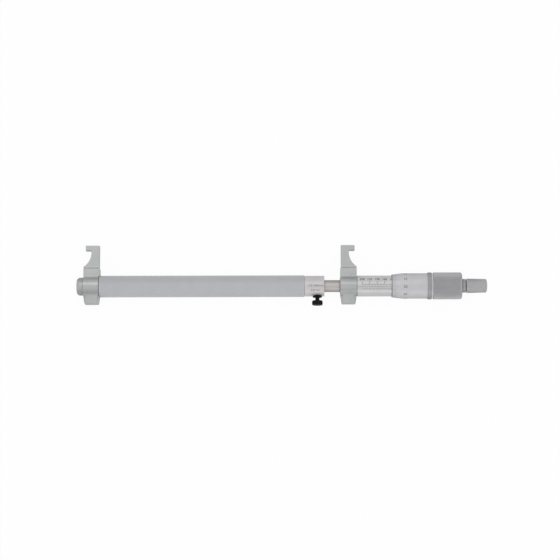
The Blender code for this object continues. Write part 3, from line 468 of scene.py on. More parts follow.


# Painted shade: the jaws' slopes and the inner corners round their bosses are darkened
JAW_STEEL = surface(
    "jaw_steel", colour_of(175, 177, 177), 0.7, 0.3,
    grain=(0.22 * MM, 0.006 * MM), wear=(0.34 * MM, colour_of(204, 206, 206)),
    slopes=(0.76, 0.28, 0.62, 0), edge=0.6, corners=(6.0 * MM, 0.2, 1.0),
)
# Painted shade: the tube darkens on the flank that faces up towards the tips, and on the opposite
# flank
GREY_PAINT = surface(
    "grey_paint", colour_of(183, 185, 189), 0.0, 0.42, mottle=0.03, uneven=0.04,
    grain=(0.5 * MM, 0.01 * MM), slopes=(0.9, 0.55, 0.92, -35),
)
SATIN_CHROME = surface(
    "satin_chrome", colour_of(194, 193, 194), 0.75, 0.36, mottle=0.04,
    rings=TURNED, wear=RUBBED_CHROME, edge=0.8,
)
COLLAR_CHROME = surface(
    "collar_chrome", colour_of(196, 194, 194), 0.7, 0.44, mottle=0.04,
    rings=TURNED, wear=RUBBED_CHROME, edge=0.8,
)
# A painted highlight: the groove is brighter than the barrel's chrome, standing in for its lit side
GROOVE_HIGHLIGHT_CHROME = surface(
    "groove_highlight_chrome", colour_of(212, 213, 217), 0.5, 0.5, mottle=0.04, rings=TURNED, corners=None,
)
# A painted shadow: a dark ring on the thimble's edge where it meets the sleeve
EDGE_SHADOW_CHROME = surface(
    "edge_shadow_chrome", colour_of(150, 149, 152), 0.6, 0.5, mottle=0.06, rings=TURNED, edge=0.3,
)
BARREL_CHROME = surface(
    "barrel_chrome", colour_of(195, 194, 197), 0.6, 0.5, mottle=0.04,
    rings=TURNED, wear=RUBBED_CHROME, edge=0.3,
)
DARK_CHROME = surface(
    "dark_chrome", colour_of(154, 155, 158), 0.75, 0.42,
    rings=TURNED, wear=(0.15 * MM, colour_of(190, 190, 190)), edge=0.3,
)
NECK_STEEL = surface(
    "neck_steel", colour_of(158, 155, 154), 0.8, 0.4,
    rings=(0.1 * MM, 0.004 * MM), wear=(0.15 * MM, colour_of(190, 188, 186)), edge=0.3,
)
KNURLED_CHROME = surface(
    "knurled_chrome", colour_of(174, 174, 177), 0.7, 0.46, mottle=0.06,
    grain=RIBBED_GRAIN, wear=(0.12 * MM, colour_of(190, 190, 191)), edge=0.2,
)
KNOB_CHROME = surface(
    "knob_chrome", colour_of(170, 170, 172), 0.7, 0.46, mottle=0.06,
    grain=RIBBED_GRAIN, wear=(0.12 * MM, colour_of(194, 194, 195)), edge=0.8,
)
# Painted shade: the rod darkens towards its flanks on both sides, as seen from above
GROUND_STEEL = surface(
    "ground_steel", colour_of(187, 181, 178), 0.9, 0.42, mottle=0.04,
    rings=(0.08 * MM, 0.003 * MM), edge=0.5, slopes=(0.76, 0.42, 0.8, -8.9),
)
BLACK_STEEL = surface(
    "black_steel", colour_of(14, 14, 14), 0.1, 0.6, mottle=0.15, uneven=0.08,
    grain=(0.2 * MM, 0.01 * MM), wear=(0.12 * MM, colour_of(58, 57, 56)), edge=0.3,
)
OILED_STEEL = surface(
    "oiled_steel", colour_of(70, 64, 60), 0.6, 0.45, mottle=0.1, rings=TURNED_PLAIN,
)
PLAIN_STEEL = surface(
    "plain_steel", colour_of(176, 175, 173), 0.9, 0.34, mottle=0.06, rings=TURNED_PLAIN,
)
BRASS = surface(
    "brass", colour_of(196, 168, 106), 0.9, 0.34, mottle=0.06, rings=(0.15 * MM, 0.004 * MM),
)


def ink(name, colour, mottle):
    return surface(name, colour, 0.0, 0.55, mottle=mottle, grain=INK_GRAIN, corners=None)


MARK_BLACK = ink("mark_black", colour_of(52, 50, 54), 0.2)
MARK_GREY = ink("mark_grey", colour_of(82, 80, 84), 0.2)
MARK_FADED = ink("mark_faded", colour_of(116, 108, 104), 0.15)


# ---- Shapes

# Points nearer to each other than this are one
SLIVER = 0.002 * MM


def arc(centre, radius, start, end, count):
    """Points on an arc, from one angle to another, in degrees."""
    turns = [math.radians(start + (end - start) * i / count) for i in range(count + 1)]
    return [(centre[0] + radius * math.cos(a), centre[1] + radius * math.sin(a)) for a in turns]


def rounded(points, steps=5):
    """An outline with its corners rounded, from (x, y, corner radius) points."""
    made = []
    for i, (x, y, size) in enumerate(points):
        corner = Vector((x, y))
        if not size:
            made.append((x, y))
            continue
        before = (Vector(points[i - 1][:2]) - corner).normalized()
        after = (Vector(points[(i + 1) % len(points)][:2]) - corner).normalized()
        half = math.acos(max(-1.0, min(1.0, before.dot(after)))) / 2
        centre = corner + (before + after).normalized() * (size / math.sin(half))
        start = corner + before * (size / math.tan(half)) - centre
        end = corner + after * (size / math.tan(half)) - centre
        first = math.atan2(start.y, start.x)
        turn = (math.atan2(end.y, end.x) - first + math.pi) % (2 * math.pi) - math.pi
        for k in range(steps + 1):
            angle = first + turn * k / steps
            made.append((centre.x + size * math.cos(angle), centre.y + size * math.sin(angle)))
    return made


def on_axis(x, radius, angle):
    """A point at a radius and an angle round the axis."""
    return (x, radius * math.sin(angle), radius * math.cos(angle))


def lathe_mesh(name, rows, steps=ROUND, axis=on_axis):
    """Turn (along, radius) points into a solid.

    A third number is how deep every second step lies, which makes ribs. The rows close on
    themselves, unless the first and last are on the axis.
    """
    work = bmesh.new()
    rings = []
    for row in rows:
        along, radius, depth = (*row, 0.0)[:3]
        if radius == 0:
            rings.append([work.verts.new(axis(along, 0.0, 0.0))])
            continue
        ring = []
        for i in range(steps):
            cut = depth if i % 2 else 0.0
            ring.append(work.verts.new(axis(along, radius - cut, 2 * math.pi * i / steps)))
        rings.append(ring)
    pairs = list(zip(rings, rings[1:]))
    if len(rings[0]) > 1:
        pairs.append((rings[-1], rings[0]))
    for first, second in pairs:
        for i in range(steps):
            corners = [first[i % len(first)], first[(i + 1) % len(first)]]
            corners += [second[(i + 1) % len(second)], second[i % len(second)]]
            corners = list(dict.fromkeys(corners))
            if len(corners) > 2:
                work.faces.new(corners)
    return to_mesh(name, work)


def to_mesh(name, work):
    """A mesh with its faces turned outwards."""
    bmesh.ops.recalc_face_normals(work, faces=work.faces)
    mesh = bpy.data.meshes.new(name)
    work.to_mesh(mesh)
    work.free()
    return mesh


def prism(outline, push):
    """A solid from a flat outline of 3-D points and the way that it is pushed out."""
    work = bmesh.new()
    base = work.faces.new([work.verts.new(point) for point in outline])
    grown = bmesh.ops.extrude_face_region(work, geom=[base], use_keep_orig=True)
    moved = [item for item in grown["geom"] if isinstance(item, bmesh.types.BMVert)]
    bmesh.ops.translate(work, verts=moved, vec=push)
    return to_mesh("prism", work)


def block(low, high):
    """A box between two corners."""
    (x0, y0, z0), (x1, y1, z1) = low, high
    return prism([(x0, y0, z0), (x1, y0, z0), (x1, y1, z0), (x0, y1, z0)], (0, 0, z1 - z0))


def applied(mesh, prepare):
    """The mesh that modifiers make of a mesh. prepare adds them to the object that it is given."""
    target = put("work", mesh)
    helpers = prepare(target) or []
    made = mesh_of(target)
    for thing in (target, *helpers):
        old = thing.data
        bpy.data.objects.remove(thing, do_unlink=True)
        bpy.data.meshes.remove(old)
    return made


def combined(mesh, tools, operation="DIFFERENCE"):
    """Cut meshes off a mesh, or join them on."""

    def prepare(target):
        helpers = []
        for tool in tools:
            modifier = target.modifiers.new("Boolean", "BOOLEAN")
            modifier.operation = operation
            modifier.solver = "EXACT"
            modifier.object = put("tool", tool)
            helpers.append(modifier.object)
        return helpers

    return tidied(applied(mesh, prepare))


def tidied(mesh):
    """Drop the doubled points and the slivers that cuts leave."""
    work = bmesh.new()
    work.from_mesh(mesh)
    bmesh.ops.remove_doubles(work, verts=work.verts, dist=SLIVER)
    bmesh.ops.dissolve_degenerate(work, edges=work.edges, dist=SLIVER)
    work.to_mesh(mesh)
    work.free()
    return mesh


def bevelled(mesh, width, segments, angle):
    """Round a mesh's edges, once slivers shorter than a fifth of the width are gone."""

    def prepare(target):
        weld = target.modifiers.new("Weld", "WELD")
        weld.merge_threshold = width / 5
        bevel = target.modifiers.new("Bevel", "BEVEL")
        bevel.width = width
        bevel.segments = segments
        bevel.limit_method = "ANGLE"
        bevel.angle_limit = math.radians(angle)
        bevel.use_clamp_overlap = False

    return applied(mesh, prepare)


def piece(name, mesh, look, body, node=None, angle=32, zones=()):
    """Put a piece on the tool: it rides on a body, and may stand for a CAD node.

    zones are pairs of another look and a test, which a face's centre and normal pass to have it.
    """
    thing = put(name, mesh)
    mesh.materials.clear()
    mesh.materials.append(look)
    for number, (other, belongs) in enumerate(zones, 1):
        mesh.materials.append(other)
        for face in mesh.polygons:
            if belongs(face.center, face.normal):
                face.material_index = number
    mesh.transform(TOOL)
    mesh.shade_smooth()
    mesh.set_sharp_from_angle(angle=math.radians(angle))
    weighted = thing.modifiers.new("Weighted normals", "WEIGHTED_NORMAL")
    weighted.keep_sharp = True
    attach(thing, body)
    if node:
        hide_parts(node)
    return thing


# ---- Jaws


def jaw_outline():
    """Front outline of a jaw: (depth inwards from the measuring face, height above the axis)."""
    nib_under = TIP_HEIGHT - NIB_HEIGHT
    relief_centre = (NIB_REACH - RELIEF_RADIUS, nib_under - RELIEF_DROP)
    run_out = math.degrees(math.acos((-BLOCK_PROUD - relief_centre[0]) / RELIEF_RADIUS))
    relief = arc(relief_centre, RELIEF_RADIUS, -run_out, 0, 22)
    nib_corner = arc((NIB_REACH - NIB_CORNER, nib_under - NIB_CORNER), NIB_CORNER, 0, 90, 5)
    stub_end = -STUB_SHOULDER - STUB_LENGTH
    inner, outer = BLOCK_IN - STUB_TAPER, STUB_TAPER - BLOCK_PROUD
    lower_right = arc((inner - STUB_CORNER, stub_end + STUB_CORNER), STUB_CORNER, 0, -90, 6)
    lower_left = arc((outer + STUB_CORNER, stub_end + STUB_CORNER), STUB_CORNER, -90, -180, 6)
    return [
        (0, TIP_HEIGHT),
        (ARM_DEPTH, TIP_HEIGHT),
        (ARM_DEPTH, BLOCK_TOP + BLOCK_STEP),
        (BLOCK_IN, BLOCK_TOP),
        (BLOCK_IN, -STUB_SHOULDER),
        *lower_right,
        *lower_left,
        (-BLOCK_PROUD, -STUB_SHOULDER),
        *relief,
        *nib_corner,
        (0, nib_under),
    ]


def arm_recess(middle, sign):
    """What is milled off a jaw's face above its block."""
    clear = BLOCK_THICK
    drop = (BLOCK_THICK - ARM_THICK) / 2
    swing = math.degrees(math.acos(1 - drop / STEP_FILLET))
    foot = BLOCK_TOP + STEP_FILLET * math.sin(math.radians(swing))
    fillet = arc((foot, ARM_THICK / 2 + STEP_FILLET), STEP_FILLET, 270 - swing, 270, 10)
    top = TIP_HEIGHT + clear
    section = [(BLOCK_TOP, clear), *fillet, (top, ARM_THICK / 2), (top, clear)]
    reach = ARM_DEPTH + BLOCK_THICK
    return prism([(middle - reach, y, sign * z) for y, z in section], (2 * reach, 0, 0))


def fairing(middle):
    """The swelling of a jaw's block round its boss."""
    radius, half = SWELL_D / 2, BLOCK_THICK / 2 - FAIRING_SUNK
    foot = math.sqrt((radius + SWELL_BLEND) ** 2 - (half + SWELL_BLEND) ** 2)
    lean = math.degrees(math.atan2(half + SWELL_BLEND, foot))
    core = half - JAW_EDGE
    near = arc((foot, half + SWELL_BLEND), SWELL_BLEND, 270, 180 + lean, 12)
    crown = arc((0, 0), radius, lean, 180 - lean, 28)
    far = [(-y, z) for y, z in reversed(near)]
    upper = [(foot, core), *near, *crown, *far, (-foot, core)]
    section = upper + [(y, -z) for y, z in reversed(upper)]
    reach = (BLOCK_IN + BLOCK_PROUD) / 2 - JAW_EDGE
    return prism([(middle - reach, y, z) for y, z in section], (2 * reach, 0, 0))


def stub_chamfer(edge, inward, sign):
    """What is taken off one corner of a jaw's stub, below the boss."""
    half = BLOCK_THICK / 2
    rise = STUB_CHAMFER_DEPTH / STUB_CHAMFER
    spare = BLOCK_THICK
    wedge = [
        (edge + inward * STUB_CHAMFER, sign * half),
        (edge - inward * spare, sign * (half - STUB_CHAMFER_DEPTH - rise * spare)),
        (edge - inward * spare, sign * (half + spare)),
        (edge + inward * STUB_CHAMFER, sign * (half + spare)),
    ]
    low = -STUB_SHOULDER - 2 * STUB_LENGTH
    return prism([(x, low, z) for x, z in wedge], (0, 2 * STUB_LENGTH, 0))


def land_bevel(face, side, sign):
    """What slopes the measuring face away beside its flat land."""
    half = ARM_THICK / 2
    slope = LAND_DROP / LAND_BEVEL
    spare = ARM_THICK
    wedge = [
        (face, sign * (half - LAND_BEVEL)),
        (face + side * slope * (LAND_BEVEL + spare), sign * (half + spare)),
        (face - side * spare, sign * (half + spare)),
        (face - side * spare, sign * (half - LAND_BEVEL)),
    ]
    low = TIP_HEIGHT - NIB_HEIGHT - JAW_EDGE
    return prism([(x, low, z) for x, z in wedge], (0, 2 * NIB_HEIGHT, 0))


def jaw_mesh(face, side, boss, bores):
    """A jaw with its edges, chamfers, fairing, boss and bores."""
    half = BLOCK_THICK / 2
    middle = face + side * (BLOCK_IN - BLOCK_PROUD) / 2
    plate = prism([(face + side * x, y, -half) for x, y in jaw_outline()], (0, 0, 2 * half))
    body = combined(plate, [arm_recess(middle, 1), arm_recess(middle, -1)])
    body = bevelled(body, JAW_EDGE, segments=3, angle=40)
    body = combined(body, [land_bevel(face, side, sign) for sign in (1, -1)])
    turned = lathe_mesh("boss", [(face + side * x, radius) for x, radius in boss], JAW_ROUND)
    body = combined(body, [fairing(middle), turned], "UNION")
    # Each chamfer is a cut of its own, because cutting them together fails
    for sign in (1, -1):
        body = combined(body, [stub_chamfer(face - side * BLOCK_PROUD, side, sign)])
        body = combined(body, [stub_chamfer(face + side * BLOCK_IN, -side, sign)])
    return combined(body, [lathe_mesh("bore", bore, JAW_ROUND) for bore in bores])


def ground_land(face):
    """The ground look of a measuring face, and a test for the faces of its flat."""

    def belongs(middle, normal):
        at_nib = middle.y > TIP_HEIGHT - NIB_HEIGHT
        return at_nib and abs(middle.x - face) < 0.02 * MM and abs(normal.x) > 0.99

    return (GROUND_STEEL, belongs)


def left_jaw():
    radius = BOSS_D / 2
    end = -BLOCK_PROUD - BOSS_REACH
    boss = rounded([
        (end, 0, 0),
        (end + BOSS_CROWN, radius, BOSS_ROUND),
        (TUBE_START, radius, 0),
        (TUBE_START, 0, 0),
    ], 8)
    bore_r = SPIGOT_D / 2 + FIT
    bottom = TUBE_START - SPIGOT_LENGTH - FIT
    bore = [(TUBE_START, 0), (TUBE_START, bore_r), (bottom, bore_r), (bottom, 0)]
    seat_r = TUBE_D / 2 + FIT
    far = BOSS_IN + FIT
    seat = [(far, 0), (far, seat_r), (TUBE_SEAT, seat_r), (TUBE_SEAT, 0)]
    mesh = jaw_mesh(0, 1, boss, [bore, seat])
    zones = [ground_land(0)]
    piece("left_jaw_forging", mesh, JAW_STEEL, "slider", "left_jaw", zones=zones)


def right_jaw():
    radius = BOSS_D / 2
    end = -BLOCK_PROUD - RIGHT_BOSS_REACH
    boss = rounded([
        (end, 0, 0),
        (end, RIGHT_BOSS_D / 2, 0.1 * MM),
        (0, RIGHT_BOSS_D / 2, 0),
        (0, radius, 0),
        (BOSS_IN - BOSS_EDGE, radius, 0.2 * MM),
        (BOSS_IN, radius - BOSS_EDGE, 0.1 * MM),
        (BOSS_IN, 0, 0),
    ], 4)
    near = READING - BOSS_IN - FIT
    far = READING - end + FIT
    shoulder = ROD_END + FIT
    bore = [
        (far, 0),
        (far, SLEEVE_BORE_R),
        (shoulder, SLEEVE_BORE_R),
        (shoulder, ROD_HOLE_R),
        (near, ROD_HOLE_R),
        (near, 0),
    ]
    mesh = jaw_mesh(READING, -1, boss, [bore])
    zones = [ground_land(READING)]
    piece("right_jaw_forging", mesh, JAW_STEEL, "frame", "right_jaw", zones=zones)


# ---- Tube, collar, rod and clamp screw


def guide_tube():
    radius = TUBE_D / 2
    bore_end = TUBE_START + TUBE_PLUG
    rows = rounded([
        (bore_end, 0, 0),
        (bore_end, TUBE_BORE_R, 0.3 * MM),
        (TUBE_END, TUBE_BORE_R, 0.15 * MM),
        (TUBE_END, radius, 0.12 * MM),
        (TUBE_START, radius, 0.35 * MM),
        (TUBE_START, SPIGOT_D / 2, 0.1 * MM),
        (TUBE_START - SPIGOT_LENGTH, SPIGOT_D / 2, 0.3 * MM),
        (TUBE_START - SPIGOT_LENGTH, 0, 0),
    ])
    mesh = lathe_mesh("guide_tube", rows)
    piece("painted_tube", mesh, GREY_PAINT, "slider", "guide_tube")


def outwards(x_centre, down=False):
    """Points round an axis that runs out from the tool's along -Y, or along -Z when it is down."""

    def place(along, radius, angle):
        x, across = x_centre + radius * math.cos(angle), radius * math.sin(angle)
        return (x, across, -along) if down else (x, -along, across)

    return place


def hole(along, radius, axis):
    """A plain drilled hole between two depths, as a cutter."""
    start, end = along
    rows = [(end, 0), (end, radius), (start, radius), (start, 0)]
    return lathe_mesh("hole", rows, HOLE_ROUND, axis)


def range_collar():
    radius = COLLAR_D / 2
    spigot = TUBE_END - COLLAR_SPIGOT_LENGTH
    spigot_r = TUBE_BORE_R - FIT
    rows = rounded([
        (spigot, ROD_HOLE_R, 0.1 * MM),
        (COLLAR_END, ROD_HOLE_R, 0.3 * MM),
        (COLLAR_END, radius, 0.3 * MM),
        (COLLAR_START - SHUT, radius, 0.08 * MM),
        (COLLAR_START - SHUT, spigot_r, 0),
        (spigot, spigot_r, 0.2 * MM),
    ], 4)
    mesh = lathe_mesh("range_collar", rows)
    clamp_axis, key_axis = outwards(CLAMP_X), outwards(KEY_X, down=True)
    seat = radius - CLAMP_SEAT_SUNK
    cuts = [
        hole((seat, COLLAR_D), CLAMP_FLANGE_D / 2 - RIM_EASE + FIT / 3, clamp_axis),
        hole((ROD_D / 4, COLLAR_D), CLAMP_SHANK_D / 2 + FIT, clamp_axis),
        hole((ROD_D / 4, COLLAR_D), KEY_SCREW_D / 2 + FIT, key_axis),
    ]
    mesh = combined(mesh, cuts)
    piece("satin_collar", mesh, COLLAR_CHROME, "slider", "range_collar")


def guide_rod():
    radius = ROD_D / 2
    bore_r = PUSH_ROD_D / 2 + FIT
    rows = rounded([
        (ROD_START, bore_r, 0.1 * MM),
        (ROD_END, bore_r, 0.1 * MM),
        (ROD_END, radius, 0.4 * MM),
        (ROD_START, radius, 0.4 * MM),
    ], 4)
    mesh = lathe_mesh("guide_rod", rows)
    low = (KEY_X - OPENING_TRAVEL - KEYWAY_SPARE, -KEYWAY_WIDTH / 2, -ROD_D)
    high = (KEY_X + CLOSING_TRAVEL + KEYWAY_SPARE, KEYWAY_WIDTH / 2, KEYWAY_DEPTH - radius)
    mesh = combined(mesh, [block(low, high)])
    piece("ground_rod", mesh, GROUND_STEEL, "frame", "guide_rod")


def clamp_screw():
    shank_end = ROD_D / 2 + FIT + CLAMP_PAD_THICK + FIT
    flange = COLLAR_D / 2 - CLAMP_SEAT_SUNK + FIT
    waist = flange + CLAMP_FLANGE_THICK
    end = waist + CLAMP_NECK_LENGTH + CLAMP_HEAD_THICK
    head = waist + CLAMP_NECK_LENGTH - RIM_EASE
    rim_r = CLAMP_FLANGE_D / 2 - RIM_EASE
    head_r, rib = CLAMP_HEAD_D / 2, CLAMP_RIB_DEPTH
    neck_r, shank_r = CLAMP_NECK_D / 2, CLAMP_SHANK_D / 2
    rows = [
        (end, 0),
        (end, head_r * 0.45),
        (end - 0.05 * MM, head_r * 0.5),
        (end - 0.02 * MM, head_r - 3 * rib),
        (end - 0.1 * MM, head_r - 1.6 * rib),
        (end - 0.35 * MM, head_r - rib / 2, 0),
        (end - 0.5 * MM, head_r, rib),
        (head + 0.5 * MM, head_r, rib),
        (head + 0.35 * MM, head_r - rib / 2, 0),
        (head + 0.1 * MM, head_r - 1.6 * rib),
        (head, head_r - 2.4 * rib),
        (head, neck_r + 0.4 * MM),
        (head - 0.12 * MM, neck_r + 0.12 * MM),
        (head - 0.4 * MM, neck_r),
        (waist + 0.4 * MM, neck_r),
        (waist + 0.12 * MM, neck_r + 0.12 * MM),
        (waist, neck_r + 0.4 * MM),
        (waist, rim_r - 0.3 * MM),
        (waist - 0.09 * MM, rim_r - 0.09 * MM),
        (waist - 0.3 * MM, rim_r),
        (flange + 0.1 * MM, rim_r),
        (flange, rim_r - 0.1 * MM),
        (flange, shank_r),
        (shank_end + 0.15 * MM, shank_r),
        (shank_end, shank_r - 0.15 * MM),
        (shank_end, 0),
    ]
    mesh = lathe_mesh("clamp_screw", rows, CLAMP_RIBS * 2, outwards(CLAMP_X))
    piece("black_clamp_screw", mesh, BLACK_STEEL, "clamp", "clamp_screw", angle=28)


# ---- Sleeve, thimble and ratchet


def graduated_sleeve():
    radius = SLEEVE_D / 2
    rows = rounded([
        (SLEEVE_START - SHUT, SLEEVE_BORE_R, 0.1 * MM),
        (SLEEVE_END, SLEEVE_BORE_R, 0.1 * MM),
        (SLEEVE_END, radius, 0.2 * MM),
        (SLEEVE_START - SHUT, radius, 0.04 * MM),
    ], 4)
    mesh = lathe_mesh("graduated_sleeve", rows)
    spot = SLEEVE_START + FIRST_MARK - BLOCK_PROUD
    cut = hole((SLEEVE_BORE_R / 2, SLEEVE_D), SPANNER_HOLE_D / 2, outwards(spot, down=True))
    mesh = combined(mesh, [cut])
    piece("satin_sleeve", mesh, SATIN_CHROME, "frame", "graduated_sleeve")


def thimble():
    """The thimble, with looks for its edge, barrel, raised band, groove and ribbed grip."""
    bore_r = SLEEVE_D / 2 + FIT
    edge_r, barrel_r, grip_r = THIMBLE_EDGE_D / 2, THIMBLE_D / 2, GRIP_D / 2 - GRIP_EASE
    taper_r = SPINDLE_TAPER_D / 2 + FIT
    band_end = BAND_START + BAND_LENGTH
    ease = GROOVE_DEPTH / 2
    rib = GRIP_RIB_DEPTH
    outline = rounded([
        (THIMBLE_START, bore_r, 0.05 * MM),
        (THIMBLE_FLOOR, bore_r, 0.3 * MM),
        (THIMBLE_FLOOR, taper_r, 0),
        (THIMBLE_END, taper_r - TAPER_DROP, 0),
    ], 3)
    steps = 8
    corner = arc((THIMBLE_END - GRIP_ROUND, grip_r - GRIP_ROUND), GRIP_ROUND, 0, 90, steps)
    outline += [(x, r, rib * i / steps) for i, (x, r) in enumerate(corner[:-1])]
    outline += [
        (THIMBLE_END - GRIP_ROUND, grip_r, rib),
        (GRIP_START + ease + 0.35 * MM, grip_r, rib),
        (GRIP_START + ease, grip_r, 0),
        (GRIP_START + 0.05 * MM, grip_r - ease),
        (GRIP_START, grip_r - GROOVE_DEPTH),
        (band_end, grip_r - GROOVE_DEPTH),
        (band_end, grip_r - ease),
        (band_end - 0.08 * MM, grip_r - 0.08 * MM),
        (band_end - ease, grip_r),
        (BAND_START + ease, grip_r),
        (BAND_START + 0.1 * MM, grip_r - 0.1 * MM),
        (BAND_START, grip_r - ease),
        (BAND_START, barrel_r),
    ]
    cone_end = THIMBLE_START + CONE_LENGTH
    edge_end = THIMBLE_START + EDGE_LENGTH
    outline += [
        (cone_end + 0.5 * MM, barrel_r),
        (cone_end, barrel_r - 0.04 * MM),
        (cone_end - CONE_EASE, barrel_r - CONE_DROP),
        (edge_end, edge_r + 0.05 * MM),
        (THIMBLE_START + EDGE_CORNER, edge_r),
        (THIMBLE_START, edge_r - 0.08 * MM),
    ]
    mesh = lathe_mesh("thimble", outline, GRIP_RIBS * 2)

    def between(start, end):
        def belongs(middle, normal):
            return start < middle.x < end and math.hypot(middle.y, middle.z) > bore_r

        return belongs

    zones = [
        # A painted shadow on the edge
        (EDGE_SHADOW_CHROME, between(THIMBLE_START, edge_end)),
        (DARK_CHROME, between(BAND_START, band_end)),
        # A painted highlight in the groove
        (GROOVE_HIGHLIGHT_CHROME, between(band_end, GRIP_START)),
        (KNURLED_CHROME, between(GRIP_START, THIMBLE_END)),
    ]
    piece("satin_thimble", mesh, BARREL_CHROME, "screw", "thimble", zones=zones)


def toothed(along, radius, angle):
    """A point round the axis, where the hub's end climbs once a tooth."""
    if along > HUB_END - TOOTH_HEIGHT / 2:
        share = angle * RATCHET_TEETH / (2 * math.pi) % 1.0
        along -= TOOTH_HEIGHT * (1 - share)
    return on_axis(along, radius, angle)


def thimble_nut():
    """The plain neck between the thimble and the knob, and the ratchet's hub inside the knob."""
    bore_r = SPINDLE_TAIL_D / 2 + FIT
    rows = rounded([
        (NECK_START, bore_r, 0.1 * MM),
        (HUB_END, bore_r, 0),
        (HUB_END, TOOTH_HUB_D / 2, 0),
        (HUB_START, TOOTH_HUB_D / 2, 0.1 * MM),
        (HUB_START, NECK_D / 2, 0.2 * MM),
        (NECK_START, NECK_D / 2, 0.15 * MM),
    ], 3)
    mesh = lathe_mesh("thimble_nut", rows, RATCHET_TEETH * TOOTH_STEPS, toothed)
    piece("plain_neck", mesh, NECK_STEEL, "screw", "thimble_nut")


def ratchet_knob():
    radius, end_r = KNOB_D / 2, KNOB_END_D / 2
    head_r = RATCHET_HEAD_D / 2 + FIT
    rib = KNOB_RIB_DEPTH
    round_end = KNOB_END - KNOB_CROWN - KNOB_ROUND
    corner = arc((round_end, end_r - KNOB_ROUND), KNOB_ROUND, 0, 90, 6)
    rows = [
        (KNOB_START, PAWL_D / 2 + FIT),
        (CAVITY_END, PAWL_D / 2 + FIT),
        (CAVITY_END, SCREW_HOLE_R),
        (HEAD_SEAT, SCREW_HOLE_R),
        (HEAD_SEAT, head_r),
        (KNOB_END - 0.15 * MM, head_r),
        (KNOB_END, head_r + 0.15 * MM),
        *corner,
        (round_end - 0.3 * MM, end_r + 0.01 * MM, 0),
        (round_end - 0.6 * MM, end_r + 0.02 * MM, rib),
        (KNOB_START + 1.0 * MM, radius, rib),
        (KNOB_START + 0.7 * MM, radius, 0),
        (KNOB_START + 0.35 * MM, radius),
        (KNOB_START + 0.1 * MM, radius - 0.1 * MM),
        (KNOB_START, radius - 0.35 * MM),
    ]
    mesh = lathe_mesh("ratchet_knob", rows, KNOB_RIBS * 2)
    piece("ribbed_knob", mesh, KNOB_CHROME, "ratchet", "ratchet_knob")


def ratchet_screw():
    head = HEAD_SEAT + FIT
    end = KNOB_END - HEAD_SUNK
    head_r = RATCHET_HEAD_D / 2
    tip = THIMBLE_END + SPINDLE_TAIL_LENGTH - RATCHET_SCREW_GRIP
    rows = rounded([
        (end, 0, 0),
        (end, head_r, 0.35 * MM),
        (head, head_r, 0.1 * MM),
        (head, RATCHET_SCREW_D / 2, 0),
        (tip, RATCHET_SCREW_D / 2, 0.1 * MM),
        (tip, 0, 0),
    ])
    mesh = lathe_mesh("ratchet_screw", rows, SCREW_ROUND)
    low = (end - SLOT_DEPTH, -RATCHET_HEAD_D, -SLOT_WIDTH / 2)
    high = (end + SLOT_DEPTH, RATCHET_HEAD_D, SLOT_WIDTH / 2)
    mesh = combined(mesh, [block(low, high)])
    piece("slotted_screw", mesh, BLACK_STEEL, "screw", "ratchet_screw")


# ---- Marks

# A digit's height as a share of its font's size, how much bolder it is as a share of its height,
# how near its points are when they are one, and the length of the pieces that bend round the axis
DIGIT_SHARE = 0.7
BOLDER = 0.012
TEXT_SLIVER = 0.001 * MM
BAR_PIECE = 0.4 * MM
TEXT_PIECE = 0.35 * MM

# The sleeve's strokes: (from, to, width), counted from the index line, and its numbers' place
INDEX_WIDTH = 0.11 * MM
INDEX_BEFORE = 2.8 * MM
INDEX_AFTER = 1.5 * MM
FIFTH_STROKE = (1.05 * MM, 3.8 * MM, 0.24 * MM)
FULL_STROKE = (1.05 * MM, 1.9 * MM, 0.24 * MM)
HALF_STROKE = (-2.0 * MM, -0.95 * MM, 0.16 * MM)
SLEEVE_NUMBER_PLACE = 5.35 * MM
SLEEVE_NUMBER_HEIGHT = 1.75 * MM

# The thimble's strokes and numbers
DIVISIONS = 50
THIMBLE_STROKE_START = 0.25 * MM
THIMBLE_STROKE_WIDTH = 0.09 * MM
FIFTH_LENGTH = 4.2 * MM
DIVISION_LENGTH = 2.7 * MM
THIMBLE_NUMBER_PLACE = 9.0 * MM
THIMBLE_NUMBER_HEIGHT = 1.7 * MM

# The collar's two lines: words, turn from the top in degrees, and stretch
COLLAR_TEXT_PLACE = 7.1 * MM
COLLAR_TEXT_HEIGHT = 1.2 * MM
COLLAR_TEXTS = (("175-200mm", 4, 1.3), ("0.01mm", -22, 1.1))


